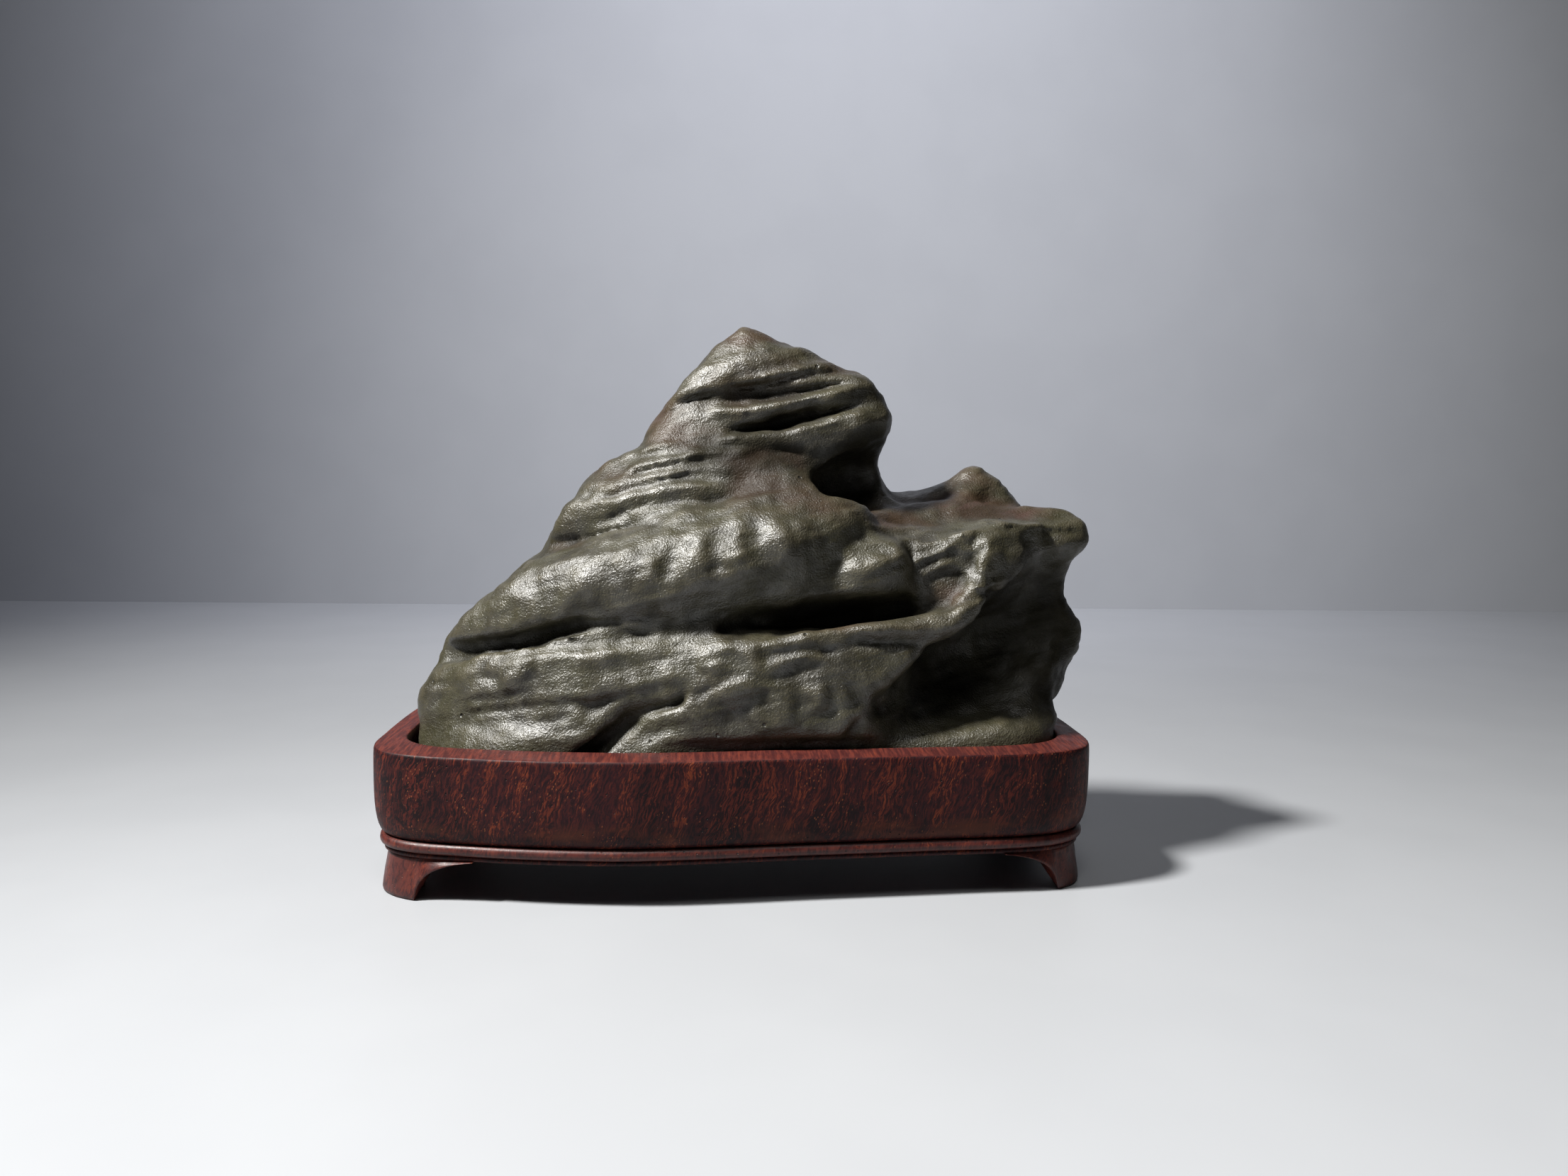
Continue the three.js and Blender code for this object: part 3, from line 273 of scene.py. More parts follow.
# Carving lines: the Y of the sheet they are drawn on, their width above and below the line,
# their height (below zero for a groove) and their points (x, z).
carvedLines = [
    # narrow folds of the left shoulder, each with a gentle upper and a steep lower side
    (-12, 1.6, 0.7, 0.35, [(-25, 85), (-20, 86.6), (-14, 88.2)]),
    (-12, 0.8, 0.8, -0.35, [(-23, 84.6), (-17, 85.7), (-12, 86.6), (-6, 87.6)]),
    (-12, 1.3, 0.7, 0.49, [(-24, 79.8), (-21.6, 82.8), (-17, 84.1), (-12, 85.4), (-7, 86.4)]),
    (-12, 0.9, 0.9, -0.56, [(-22, 81.6), (-16, 82.7), (-12, 83.9), (-7, 84.7), (-2, 85)]),
    (-12, 1.2, 0.7, 0.42, [(-21, 80.3), (-16, 81.4), (-12, 82.6), (-9.6, 82.8)]),
    (-12, 0.9, 0.8, -0.63, [(-27, 76.8), (-23.5, 77.8), (-20, 79.4), (-15, 80.5), (-9, 80.8),
        (-4, 81.2)]),
    (-12, 1.4, 0.8, 0.35, [(-29, 78.6), (-22, 77.4), (-16, 78.7), (-8, 79.3), (-3, 78.8)]),
    (-12, 0.8, 0.8, -0.28, [(-24, 75.9), (-18, 77.3), (-10, 78.3), (-5, 77.8)]),
    (-12, 1.5, 0.8, 0.35, [(-33, 74), (-27, 75.4), (-20, 76.7), (-12, 77.8), (-6, 77.2)]),
    (-12, 1, 1, -0.63, [(-27, 72.6), (-22, 74.6), (-16, 75.9), (-10, 76.7), (-4, 76.2)]),
    (-12, 1.2, 0.9, 0.28, [(-25, 73.2), (-18, 74.4), (-13, 74.3), (-9, 72.9)]),
    (-12, 1.2, 0.9, -0.77, [(-38.5, 67.3), (-33, 68), (-28, 69.2), (-22, 70.4), (-15, 71.2)]),
    (-12, 1, 0.8, -0.35, [(-11.5, 80.8), (-10.3, 82), (-9, 81)]),
    # cap: fine layers above the first groove, knobbly left end
    (-7, 1, 0.8, -0.45, [(1, 102), (6, 103.6), (12, 105.4), (18, 106)]),
    (-7, 1.1, 0.6, 0.4, [(0, 101), (8, 102.8), (14, 104), (20, 104.2)]),
    (-7, 1, 0.8, -0.6, [(-2, 99.8), (6, 100.6), (13, 102.2), (20, 103)]),
    (-7, 1, 0.6, 0.5, [(4, 99.6), (12, 100.6), (18, 101.6), (25, 102.2)]),
    (-7, 0.8, 0.7, 0.4, [(-14, 97), (-10, 98.2), (-6, 99.4)]),
    (-7, 0.8, 0.7, -0.5, [(-13, 96), (-9, 97.1), (-5, 98.2)]),
    (-7, 0.9, 0.6, 0.6, [(-6, 94.8), (0, 95.1), (6, 95.7), (11, 97.2), (17, 98.7), (24, 100.3)]),
    (-7, 0.9, 0.7, -0.5, [(14, 98.9), (19, 99.9), (24, 101.1)]),
    (-7, 0.9, 0.8, 0.6, [(-4, 89.2), (4, 89.4), (10, 90.7), (16, 92.2), (22, 94), (27, 95.4)]),
    (-7, 1, 1, -0.5, [(2, 86.6), (8, 87), (14, 86.8)]),
    (-7, 0.8, 0.7, -0.4, [(-12, 88.6), (-6, 88), (0, 87.6)]),
    # main fold: soft upright swellings and dimples
    (-14, 2.2, 2.2, 0.5, [(-17.5, 66), (-18.5, 62), (-21, 59)]),
    (-14, 2, 2, -0.5, [(-13.6, 68), (-14, 64), (-15.5, 60)]),
    (-14, 2, 2, 0.45, [(-8, 70.5), (-8.5, 66.5), (-9.5, 62)]),
    (-14, 1.3, 1.3, -0.5, [(-10.8, 67.6), (-9, 66.9)]),
    (-14, 1.8, 1.8, -0.5, [(-4.6, 71), (-5, 66.5), (-4.6, 61)]),
    (-14, 1.8, 1.8, 0.5, [(-0.5, 72), (-0.5, 67), (0.5, 62.5)]),
    (-14, 2, 2, -0.5, [(3.4, 71.5), (4.4, 67), (5, 63)]),
    (-14, 2, 2, 0.45, [(5, 72.4), (9, 68.4), (10.5, 65)]),
    (-14, 2, 2, -0.4, [(-25.6, 64.6), (-27, 60), (-29, 56.5)]),
    (-14, 2.2, 2.2, 0.4, [(-31, 62.5), (-33, 58.5), (-35, 55.5)]),
    (-14, 2, 2, -0.3, [(-38, 60), (-40, 56), (-42, 53.5)]),
    (-14, 1.2, 1.2, -0.4, [(-21, 61.8), (-20, 61.4)]),
    # line where the main fold turns over into the flat band above it
    (-12, 1.6, 1.2, -0.5, [(-42, 64.8), (-34, 66.3), (-26, 67.6), (-18, 69), (-10, 71.4),
        (-4, 73.8)]),
    (-12, 1.1, 1.1, 0.35, [(-44, 62.4), (-34, 64), (-26, 65.8), (-18, 68), (-10, 70.2),
        (-4, 72.6)]),
    # lower left: ridges, shallow troughs, fine parallel layers
    (-28, 1.3, 0.8, 0.45, [(-38, 49.6), (-33, 50.6), (-28, 51.8), (-23, 52.7), (-18, 52.6)]),
    (-28, 1.4, 1.4, -0.39, [(-34, 48.2), (-27, 48.6), (-21, 49.8), (-15, 50.6)]),
    (-28, 1.4, 1, 0.39, [(-38.5, 45.6), (-35, 47.4), (-28, 46.6), (-22, 48.6)]),
    (-28, 2.2, 2, -0.59, [(-41, 42), (-34, 43.2), (-26, 44.2), (-18, 45.4), (-13, 46.6)]),
    (-28, 1.6, 1.2, 0.45, [(-46, 40.8), (-43, 42.4), (-41, 44.6), (-40, 47)]),
    (-28, 1.4, 1.2, -0.39, [(-50, 43.6), (-47, 42), (-46, 39.6)]),
    (-28, 1.2, 0.9, 0.33, [(-53, 38.4), (-50, 40), (-47, 41)]),
    (-28, 1, 0.9, -0.29, [(-52, 38), (-44, 39), (-36, 40.4), (-27, 41.4)]),
    (-28, 0.9, 0.7, 0.26, [(-53, 36.6), (-45, 37.7), (-38, 38.6), (-30, 39.4)]),
    (-28, 0.7, 0.6, -0.23, [(-52, 35.6), (-45, 36.6), (-37, 37.4), (-31, 38)]),
    (-28, 0.8, 0.7, 0.23, [(-51, 34.7), (-44, 35.4), (-37, 36.2), (-31, 36.4)]),
    (-28, 0.6, 0.6, -0.23, [(-53, 34), (-48, 32.2), (-43, 30.4)]),
    (-28, 1.4, 1.1, 0.39, [(-28, 34.6), (-25, 36.2), (-21.5, 38.8), (-18, 40.2)]),
    (-28, 1.4, 1.4, -0.33, [(-33, 37), (-28, 37.6), (-24, 39.6)]),
    (-28, 1.3, 1.1, 0.33, [(-34, 34), (-31, 35), (-28, 35.2)]),
    (-28, 1.4, 1.3, 0.45, [(-16, 44.4), (-13.6, 43), (-12.6, 40.6)]),
    # lower middle: knobs under the shelf, knobs of the mound
    (-28, 1.1, 1.1, -0.65, [(-8.5, 38.8), (-5, 41.3), (-1, 42.9), (3.4, 43)]),
    (-28, 1.6, 1.6, 0.45, [(-7.2, 48.4), (-6.4, 45.6), (-3.6, 45.4)]),
    (-28, 1.2, 1.2, -0.39, [(-9.6, 46), (-8.6, 43.6), (-5, 43.4)]),
    (-28, 1.3, 1.3, -0.39, [(-4.2, 47.6), (-1.8, 46.4), (1.6, 44.6)]),
    (-28, 1.6, 1.6, 0.45, [(-1.4, 48), (1.6, 47), (3.2, 45)]),
    (-28, 0.9, 0.9, -0.52, [(4, 49), (4.4, 47.3), (9, 47.6), (14, 48.1), (18, 47.8)]),
    (-28, 1.1, 0.9, 0.45, [(6, 44.6), (8, 46), (12, 46.8), (17, 47)]),
    (-28, 1.2, 1.2, -0.45, [(4.6, 44), (6, 42.2), (9, 42.6), (11, 43.8), (16, 44.6)]),
    (-28, 1.6, 1.6, 0.52, [(7, 42), (7, 39.6)]),
    (-28, 2.2, 2, 0.52, [(-4, 39.4), (0, 41.2), (3.6, 41.4)]),
    (-28, 1.5, 1.5, -0.39, [(4.9, 41), (4.4, 38.4), (5.6, 36)]),
    (-28, 1.6, 1.6, 0.39, [(-1, 38.6), (-2, 36.8)]),
    (-28, 1.4, 1.4, -0.33, [(1, 38.4), (0.4, 35.8), (-3, 34.4)]),
    (-28, 2, 2, 0.39, [(9, 37), (8, 33.4)]),
    (-28, 1.6, 1.6, -0.45, [(11.6, 41.6), (11, 38), (12.4, 35)]),
    (-28, 1.6, 1.6, 0.59, [(13, 40.2), (15.2, 39.4), (14.8, 36.6)]),
    (-28, 1.4, 1.4, -0.39, [(17.6, 41.6), (18.2, 38), (17, 34)]),
    (-28, 1.6, 1.6, 0.39, [(20.6, 43), (22.4, 43.2)]),
    (-28, 1.4, 1.4, -0.39, [(20, 41.6), (22.4, 39.6), (23.4, 36.6)]),
    (-28, 2, 2, 0.33, [(-8, 34.6), (-4.4, 36)]),
    (-28, 1.2, 1.2, -0.26, [(-8.6, 32.6), (-3, 33.6), (2, 32.4)]),
    (-28, 1.8, 1.6, 0.33, [(-18, 33), (-14, 34.6), (-10, 35.6)]),
    (-28, 1.3, 1.3, -0.26, [(-19, 31), (-14, 32), (-9, 31.4)]),
    (-28, 1.6, 1.6, 0.26, [(36, 31.6), (35.6, 33)]),
    (-28, 1.6, 1.6, 0.26, [(45, 31.2), (45.4, 32.6)]),
    (-28, 2, 2, 0.39, [(50, 33), (52.4, 37)]),
    (-28, 1.4, 1.4, -0.26, [(53.6, 33.4), (55, 36.6)]),
    (-28, 1.6, 1.6, 0.26, [(57, 35.6), (57.6, 38.4)]),
    # knuckle, wrinkled middle face, the column and the plateau's edge
    (-16, 0.7, 0.7, 0.38, [(23.8, 68.4), (27, 68.7), (30, 68.4), (31.4, 67)]),
    (-16, 0.9, 0.9, -0.38, [(22.4, 66.6), (26, 67), (29.6, 66.4)]),
    (-16, 1.1, 0.8, 0.52, [(20, 62.6), (25, 63.2), (29.6, 64.6), (32.8, 65.4)]),
    (-16, 0.6, 0.6, 0.38, [(32.2, 68.8), (31.8, 67), (32.8, 65)]),
    (-16, 0.8, 0.8, -0.68, [(34.2, 68.6), (34.6, 65), (35.6, 61.4), (36.6, 58)]),
    (-16, 0.8, 0.7, 0.45, [(35.4, 64.8), (38, 65.8), (41, 66.8), (43.4, 67.8)]),
    (-16, 0.8, 0.7, -0.38, [(36, 63.4), (39, 64.6), (42, 65.8), (45, 66)]),
    (-16, 0.8, 0.7, 0.38, [(36.6, 62), (40, 63.6), (43, 64.6)]),
    (-16, 0.8, 0.8, -0.3, [(37, 60.6), (42, 62), (46, 62.2)]),
    (-16, 0.55, 0.55, 0.52, [(43, 70.5), (46, 70.9), (48.8, 71.9)]),
    (-16, 0.55, 0.55, 0.45, [(41, 68.6), (43, 68.2), (44, 69.6), (47, 70)]),
    (-16, 0.5, 0.5, -0.45, [(42.4, 69.4), (46, 69.4), (49.6, 70.6)]),
    (-16, 0.6, 0.6, 0.52, [(44, 66.9), (47.4, 67.2), (50, 69.3), (50.6, 67.6), (49.2, 65.8)]),
    (-16, 0.8, 0.8, -0.52, [(45.4, 68.4), (48, 68.2)]),
    (-16, 0.9, 0.9, -0.6, [(47.2, 66), (47.6, 63), (49, 60.8)]),
    (-16, 0.6, 0.6, 0.45, [(46.4, 59.8), (50, 59.6), (52.4, 60.6), (54.4, 61.4)]),
    (-16, 0.7, 0.7, 0.45, [(54.4, 60.6), (50.6, 57.6), (47.4, 56), (43.4, 53.6)]),
    (-16, 0.8, 0.8, -0.38, [(52, 59.4), (49.4, 57.9), (45.8, 56.4), (42, 55.2)]),
    (-16, 0.8, 0.7, -0.38, [(26, 73.2), (30, 72.4), (34.6, 73)]),
    (-16, 0.8, 0.6, 0.38, [(27, 72.2), (30, 71.5), (34.4, 72.2)]),
    (-16, 0.6, 0.6, -0.38, [(52, 71.6), (58, 71.4), (64, 71.2), (70, 70.8)]),
    (-16, 0.6, 0.6, 0.3, [(52, 72.6), (58, 72.4), (64, 72.2), (69, 72)]),
    (-16, 0.9, 0.9, 0.26, [(40, 50.2), (45, 52), (50.4, 54.6), (55.4, 57.6), (57.4, 61),
        (57.4, 64.4)]),
    # small waves in the edge of the shelf
    (-28, 0.8, 0.8, 0.3, [(10, 51.1), (14, 51.5)]),
    (-28, 0.8, 0.8, 0.3, [(21, 52.4), (26, 52.8)]),
    (-28, 1.2, 1, 0.5, [(24, 51.6), (30, 52.6), (35, 52)]),
    (-28, 1, 1, -0.4, [(18, 50.6), (24, 50), (30, 49.8), (36, 49)]),
]


def softMin(a, b, k):
    h = np.maximum(k - np.abs(a - b), 0) / k
    return np.minimum(a, b) - h * h * (k * 0.25)


def softMax(a, b, k):
    h = np.maximum(k - np.abs(a - b), 0) / k
    return np.maximum(a, b) + h * h * (k * 0.25)


def outlineDistance(x, z, loop):
    away = np.full(np.broadcast(x, z).shape, 1e9, np.float32)
    sign = np.ones(away.shape, np.float32)
    for (ax, az), (bx, bz) in zip(loop, np.roll(loop, 1, axis=0)):
        ex, ez = bx - ax, bz - az
        wx, wz = x - ax, z - az
        t = np.clip((wx * ex + wz * ez) / (ex * ex + ez * ez), 0, 1)
        away = np.minimum(away, (wx - ex * t) ** 2 + (wz - ez * t) ** 2)
        above, below, left = z >= az, z < bz, (ex * wz) > (ez * wx)
        sign = np.where((above & below & left) | (~above & ~below & ~left), -sign, sign)
    return sign * np.sqrt(away)


def lineDistance(x, y, z, balls, depthScale):
    nearest = None
    for (ax, ay, az, ar), (bx, by, bz, br) in zip(balls[:-1], balls[1:]):
        vx, vy, vz = bx - ax, (by - ay) * depthScale, bz - az
        px, py, pz = x - ax, (y - ay) * depthScale, z - az
        t = np.clip((px * vx + py * vy + pz * vz) / max(vx * vx + vy * vy + vz * vz, 1e-6), 0, 1)
        away = np.sqrt((px - t * vx) ** 2 + (py - t * vy) ** 2 + (pz - t * vz) ** 2)
        away = away - (ar + t * (br - ar))
        nearest = away if nearest is None else np.minimum(nearest, away)
    return nearest


def carvedRelief():
    # the carved lines as a height map on the upright sheet
    step = rock["carvingStep"]
    xs = np.arange(-80, 90, step)
    zs = np.arange(15, 125, step)
    x, z = xs[:, None], zs[None, :]
    relief = np.zeros((len(xs), len(zs)))
    ex, ey, ez = eye
    for sheet, above, below, height, points in carvedLines:
        scale = (rock["plane"] - ey) / (sheet - ey)
        onSheet = [(ex + (px - ex) * scale, ez + (pz - ez) * scale) for px, pz in points]
        line = smoothLine(onSheet, 4)
        reach = 3 * max(above, below)
        i0, i1 = np.searchsorted(xs, [line[:, 0].min() - reach, line[:, 0].max() + reach])
        j0, j1 = np.searchsorted(zs, [line[:, 1].min() - reach, line[:, 1].max() + reach])
        bx, bz = x[i0:i1], z[:, j0:j1]
        best = np.full((i1 - i0, j1 - j0), 1e9)
        side = np.zeros(best.shape)
        along = np.zeros(best.shape)
        lengths = np.hypot(*np.diff(line, axis=0).T)
        total, done = lengths.sum(), 0.0
        for (ax, az), (cx, cz), length in zip(line[:-1], line[1:], lengths):
            vx, vz = cx - ax, cz - az
            wx, wz = bx - ax, bz - az
            t = np.clip((wx * vx + wz * vz) / max(length * length, 1e-9), 0, 1)
            away = np.hypot(wx - t * vx, wz - t * vz)
            closer = away < best
            best = np.where(closer, away, best)
            side = np.where(closer, np.sign(vx * wz - vz * wx), side)
            along = np.where(closer, (done + t * length) / total, along)
            done += length
        width = np.where(side > 0, above, below)
        fade = np.clip(np.minimum(along, 1 - along) * total / rock["fadeLength"]
                       + rock["fadeLeast"], 0, 1)
        relief[i0:i1, j0:j1] += height * fade * np.exp(-(best / width) ** 2)
    return xs, zs, relief


def sampleSheet(xs, zs, relief, x, y, z):
    ex, ey, ez = eye
    scale = (rock["plane"] - ey) / (y - ey)
    u = (ex + (x - ex) * scale - xs[0]) / (xs[1] - xs[0])
    v = (ez + (z - ez) * scale - zs[0]) / (zs[1] - zs[0])
    u = np.clip(u, 0, len(xs) - 1.001)
    v = np.clip(v, 0, len(zs) - 1.001)
    i, j = u.astype(int), v.astype(int)
    fu, fv = u - i, v - j
    return (relief[i, j] * (1 - fu) * (1 - fv) + relief[i + 1, j] * fu * (1 - fv)
            + relief[i, j + 1] * (1 - fu) * fv + relief[i + 1, j + 1] * fu * fv)


def rockField():
    step = rock["gridStep"]
    axes = [np.arange(a, b + step, step).astype(np.float32)
            for a, b in zip(rock["low"], rock["high"])]
    x, y, z = axes[0][:, None, None], axes[1][None, :, None], axes[2][None, None, :]
    edge = -outlineDistance(axes[0][:, None], axes[2][None, :], smoothLoop(rockOutline, 4))
    edge = edge[:, None, :]
    half = np.clip(rock["halfDepth"] - rock["taper"] * (z - 25), rock["thinnest"],
                   rock["halfDepth"])
    half = half * (1 - 0.12 * np.clip((x - 34) / 20, 0, 1))       # thinner at both ends
    half = half * (1 - 0.22 * np.clip((-x - 30) / 30, 0, 1))
    middle = 1.5 + 0.02 * (z - 30)
    edgeRound = np.minimum(half, rock["round"])
    field = np.hypot(np.maximum(edgeRound - edge, 0),
                     np.maximum(np.abs(y - middle) - (half - edgeRound), 0)) - edgeRound
    field = field.astype(np.float32)
    for kind, blend, depthScale, balls in rockForms:
        line = smoothLine(balls, 4)
        reach = line[:, 3].max() + blend + 6
        block = []
        for axis in range(3):
            extra = reach / depthScale if axis == 1 else reach
            block.append(slice(*np.searchsorted(
                axes[axis], [line[:, axis].min() - extra, line[:, axis].max() + extra])))
        bx, by, bz = (axes[0][block[0]][:, None, None], axes[1][block[1]][None, :, None],
                      axes[2][block[2]][None, None, :])
        away = lineDistance(bx, by, bz, line.tolist(), depthScale)
        here = field[tuple(block)]
        field[tuple(block)] = (softMin(here, away, blend) if kind == "add"
                               else softMax(here, -away, blend))
    # nothing outside the side view
    ex, ey, ez = eye
    nearer = (rock["plane"] - ey) / -ey
    outline = smoothLoop([(ex + (px - ex) * nearer, ez + (pz - ez) * nearer)
                          for px, pz in sideView], 3)
    xs, zs = np.arange(-80, 90, 0.5), np.arange(5, 125, 0.5)
    outside = outlineDistance(xs[:, None], zs[None, :], outline)
    near = np.argwhere((field > -9) & (field < 3))
    px, py, pz = (axes[k][near[:, k]] for k in range(3))
    here = field[near[:, 0], near[:, 1], near[:, 2]]
    beyond = sampleSheet(xs, zs, outside, px, py, pz) - rock["trimGap"]
    field[near[:, 0], near[:, 1], near[:, 2]] = softMax(here, beyond, rock["trimSoft"])
    # carving on the front only
    xs, zs, relief = carvedRelief()
    near = np.argwhere((np.abs(field) < 5) & (y < 2))
    px, py, pz = (axes[k][near[:, k]] for k in range(3))
    depth = rock["carving"] * sampleSheet(xs, zs, relief, px, py, pz) * np.clip((2 - py) / 5, 0, 1)
    field[near[:, 0], near[:, 1], near[:, 2]] -= depth.astype(np.float32)
    # the foot fits the recess
    seat = outlineDistance(axes[0][:, None], axes[1][None, :], smoothLoop(seatPlan, 4))[:, :, None]
    seat = seat + rock["sideGap"] - np.maximum(z - rock["rimHeight"] - 2, 0) * 2
    field = softMax(field, seat, rock["seatSoft"])
    field = softMax(field, rock["floor"] - z, rock["seatSoft"])
    # open space all round the samples
    field[0] = field[-1] = 5
    field[:, 0] = field[:, -1] = 5
    field[:, :, 0] = field[:, :, -1] = 5
    return axes, untangled(field)


def untangled(field):
    # closes cells where two parts of the surface only meet at an edge or a corner
    justInside = -0.03
    for _ in range(12):
        changed = 0
        for a, b in ((0, 1), (0, 2), (1, 2)):
            corner = {}
            for i in (0, 1):
                for j in (0, 1):
                    part = [slice(None)] * 3
                    part[a] = slice(i, field.shape[a] - 1 + i)
                    part[b] = slice(j, field.shape[b] - 1 + j)
                    corner[i, j] = field[tuple(part)]
            for i in (0, 1):
                crossed = ((corner[i, 0] < 0) & (corner[1 - i, 1] < 0) & (corner[1 - i, 0] >= 0)
                           & (corner[i, 1] >= 0))
                changed += int(crossed.sum())
                corner[1 - i, 0][crossed] = justInside
        inside = field < 0
        for j in (0, 1):
            for k in (0, 1):
                for full in (True, False):
                    ends = [inside[:-1, j:j - 1 or None, k:k - 1 or None],
                            inside[1:, 1 - j:-j or None, 1 - k:-k or None]]
                    total = sum(inside[x:x - 1 or None, y:y - 1 or None,
                                       z:z - 1 or None].astype(int)
                                for x in (0, 1) for y in (0, 1) for z in (0, 1))
                    if full:
                        lone = ends[0] & ends[1] & (total == 2)
                        field[:-1, 1 - j:-j or None, k:k - 1 or None][lone] = justInside
                    else:
                        lone = ~ends[0] & ~ends[1] & (total == 6)
                        field[:-1, j:j - 1 or None, k:k - 1 or None][lone] = justInside
                    changed += int(lone.sum())
        if not changed:
            break
    return field


def skinField(axes, field):
    # one point in each cell that the surface crosses, one face across each crossed grid edge
    inside = field < 0
    nx, ny, nz = field.shape
    corners = [(a, b, c) for a in (0, 1) for b in (0, 1) for c in (0, 1)]
    count = np.zeros((nx - 1, ny - 1, nz - 1), np.int8)
    for a, b, c in corners:
        count += inside[a:nx - 1 + a, b:ny - 1 + b, c:nz - 1 + c]
    active = (count > 0) & (count < 8)
    cells = np.argwhere(active)
    number = -np.ones(active.shape, np.int64)
    number[active] = np.arange(len(cells))
    total = np.zeros((len(cells), 3))
    crossings = np.zeros(len(cells))
    value = {c: field[cells[:, 0] + c[0], cells[:, 1] + c[1], cells[:, 2] + c[2]] for c in corners}
    for corner in corners:
        for axis in range(3):
            if corner[axis] == 0:
                other = tuple(1 if k == axis else corner[k] for k in range(3))
                fa, fb = value[corner], value[other]
                crossed = (fa < 0) != (fb < 0)
                t = np.where(crossed, fa / np.where(fa == fb, 1, fa - fb), 0)
                point = np.tile(np.array(corner, float), (len(cells), 1))
                point[:, axis] += t
                total[crossed] += point[crossed]
                crossings[crossed] += 1
    origin = np.array([a[0] for a in axes])
    verts = (cells + total / crossings[:, None]) * (axes[0][1] - axes[0][0]) + origin
    quads = []
    for axis in range(3):
        others = [k for k in range(3) if k != axis]
        first = [slice(1, -1)] * 3
        second = [slice(1, -1)] * 3
        first[axis], second[axis] = slice(0, -1), slice(1, None)
        a, b = inside[tuple(first)], inside[tuple(second)]
        for leaving in (True, False):
            base = np.argwhere((a & ~b) if leaving else (~a & b))
            for k in others:
                base[:, k] += 1
            ring = []
            for da, db in ((-1, -1), (0, -1), (0, 0), (-1, 0)):
                cell = base.copy()
                cell[:, others[0]] += da
                cell[:, others[1]] += db
                ring.append(number[cell[:, 0], cell[:, 1], cell[:, 2]])
            quad = np.stack(ring, 1)
            if (axis == 1) == leaving:
                quad = quad[:, ::-1]
            quads.append(quad)
    return verts, np.concatenate(quads)


def vertexNormals(verts, quads):
    p = verts[quads]
    across = np.cross(p[:, 2] - p[:, 0], p[:, 3] - p[:, 1])
    normals = np.stack([np.bincount(quads.ravel(), np.repeat(across[:, k], 4), len(verts))
                        for k in range(3)], 1)
    return normals / np.linalg.norm(normals, axis=1)[:, None]


def smoothed(values, quads, rounds, amount=1.0):
    ends = np.concatenate([quads[:, [k, (k + 1) % 4]] for k in range(4)])
    a, b = ends[:, 0], ends[:, 1]
    degree = np.bincount(a, minlength=len(values)) + np.bincount(b, minlength=len(values))
    out = values.copy()
    for _ in range(rounds):
        mean = np.stack([(np.bincount(a, out[b, k], len(out))
                          + np.bincount(b, out[a, k], len(out))) / degree
                         for k in range(out.shape[1])], 1)
        out = out + (mean - out) * amount
    return out


# warm brown staining: centre (x, y, z), reach (x, y, z), strength
stains = [
    ((4, 0, 100), (20, 14, 12), 0.5),
    ((6, -14, 78), (12, 10, 7), 0.75),
    ((-20, -8, 80), (13, 9, 6), 0.45),
    ((2, 0, 112), (10, 14, 4), 0.9),
    ((20, 0, 105), (12, 14, 3), 0.5),
    ((-16, 0, 94), (6, 12, 7), 0.7),
    ((-12, -8, 90), (12, 8, 4), 0.7),
    ((-26, 0, 84), (8, 8, 3.5), 0.8),
    ((8, -10, 78), (12, 8, 5), 1.0),
    ((2, -10, 84), (9, 7, 4), 0.8),
    ((10, -6, 84), (6, 8, 4), 0.9),
    ((16, -14, 75), (9, 8, 3.5), 0.9),
    ((30, -8, 74), (12, 10, 3.5), 1.0),
    ((46, 0, 76), (14, 12, 4), 1.0),
    ((60, 0, 75), (10, 9, 4), 0.9),
    ((52, 9, 81), (7, 8, 6), 0.7),
    ((-34, -10, 67), (12, 7, 2.2), 0.6),
    ((-18, -14, 69.4), (10, 7, 2), 0.6),
    ((20, -26, 52.6), (18, 4, 1.4), 0.7),
    ((42, -18, 57), (5, 6, 4), 0.8),
    ((10, 14, 74), (30, 8, 8), 0.5),
    ((-20, 16, 52), (20, 8, 4), 0.4),
]

# painted shade: places darkened as if in shade, mostly hollows, creases and the undersides of
# overhangs: centre (x, y, z), reach (x, y, z), strength
paintedShadePlaces = [
    ((48, -16, 43), (15, 10, 9), 1.0),
    ((58, -12, 52), (11, 12, 10), 0.9),
    ((68, 2, 52), (8, 20, 16), 0.75),
    ((66, -4, 38), (10, 16, 12), 0.75),
    ((18, -19, 54.6), (18, 7, 3), 1.0),
    ((24, -6, 80), (8, 9, 6.5), 1.0),
    ((9, -6, 93.4), (11, 4, 1.6), 0.85),
    ((2, -7, 98), (11, 4, 1.4), 0.6),
    ((12, -9, 84), (9, 7, 4), 0.55),
    ((26, -6, 87), (10, 10, 6), 0.85),
    ((46, -2, 74.5), (18, 10, 3), 0.3),
    ((57, -15, 63), (6, 7, 8), 0.5),
    ((1, -9, 86), (14, 10, 6), 0.75),
    ((5, -14, 79), (9, 8, 5), 0.5),
    ((-40, -21, 49.4), (16, 6, 1.2), 0.5),
]


def nearPlaces(verts, places, values, sharpness):
    for centre, reach, strength in places:
        away = (((verts - centre) / reach) ** 2).sum(1)
        values = np.maximum(values, strength * np.exp(-away ** sharpness))
    return values


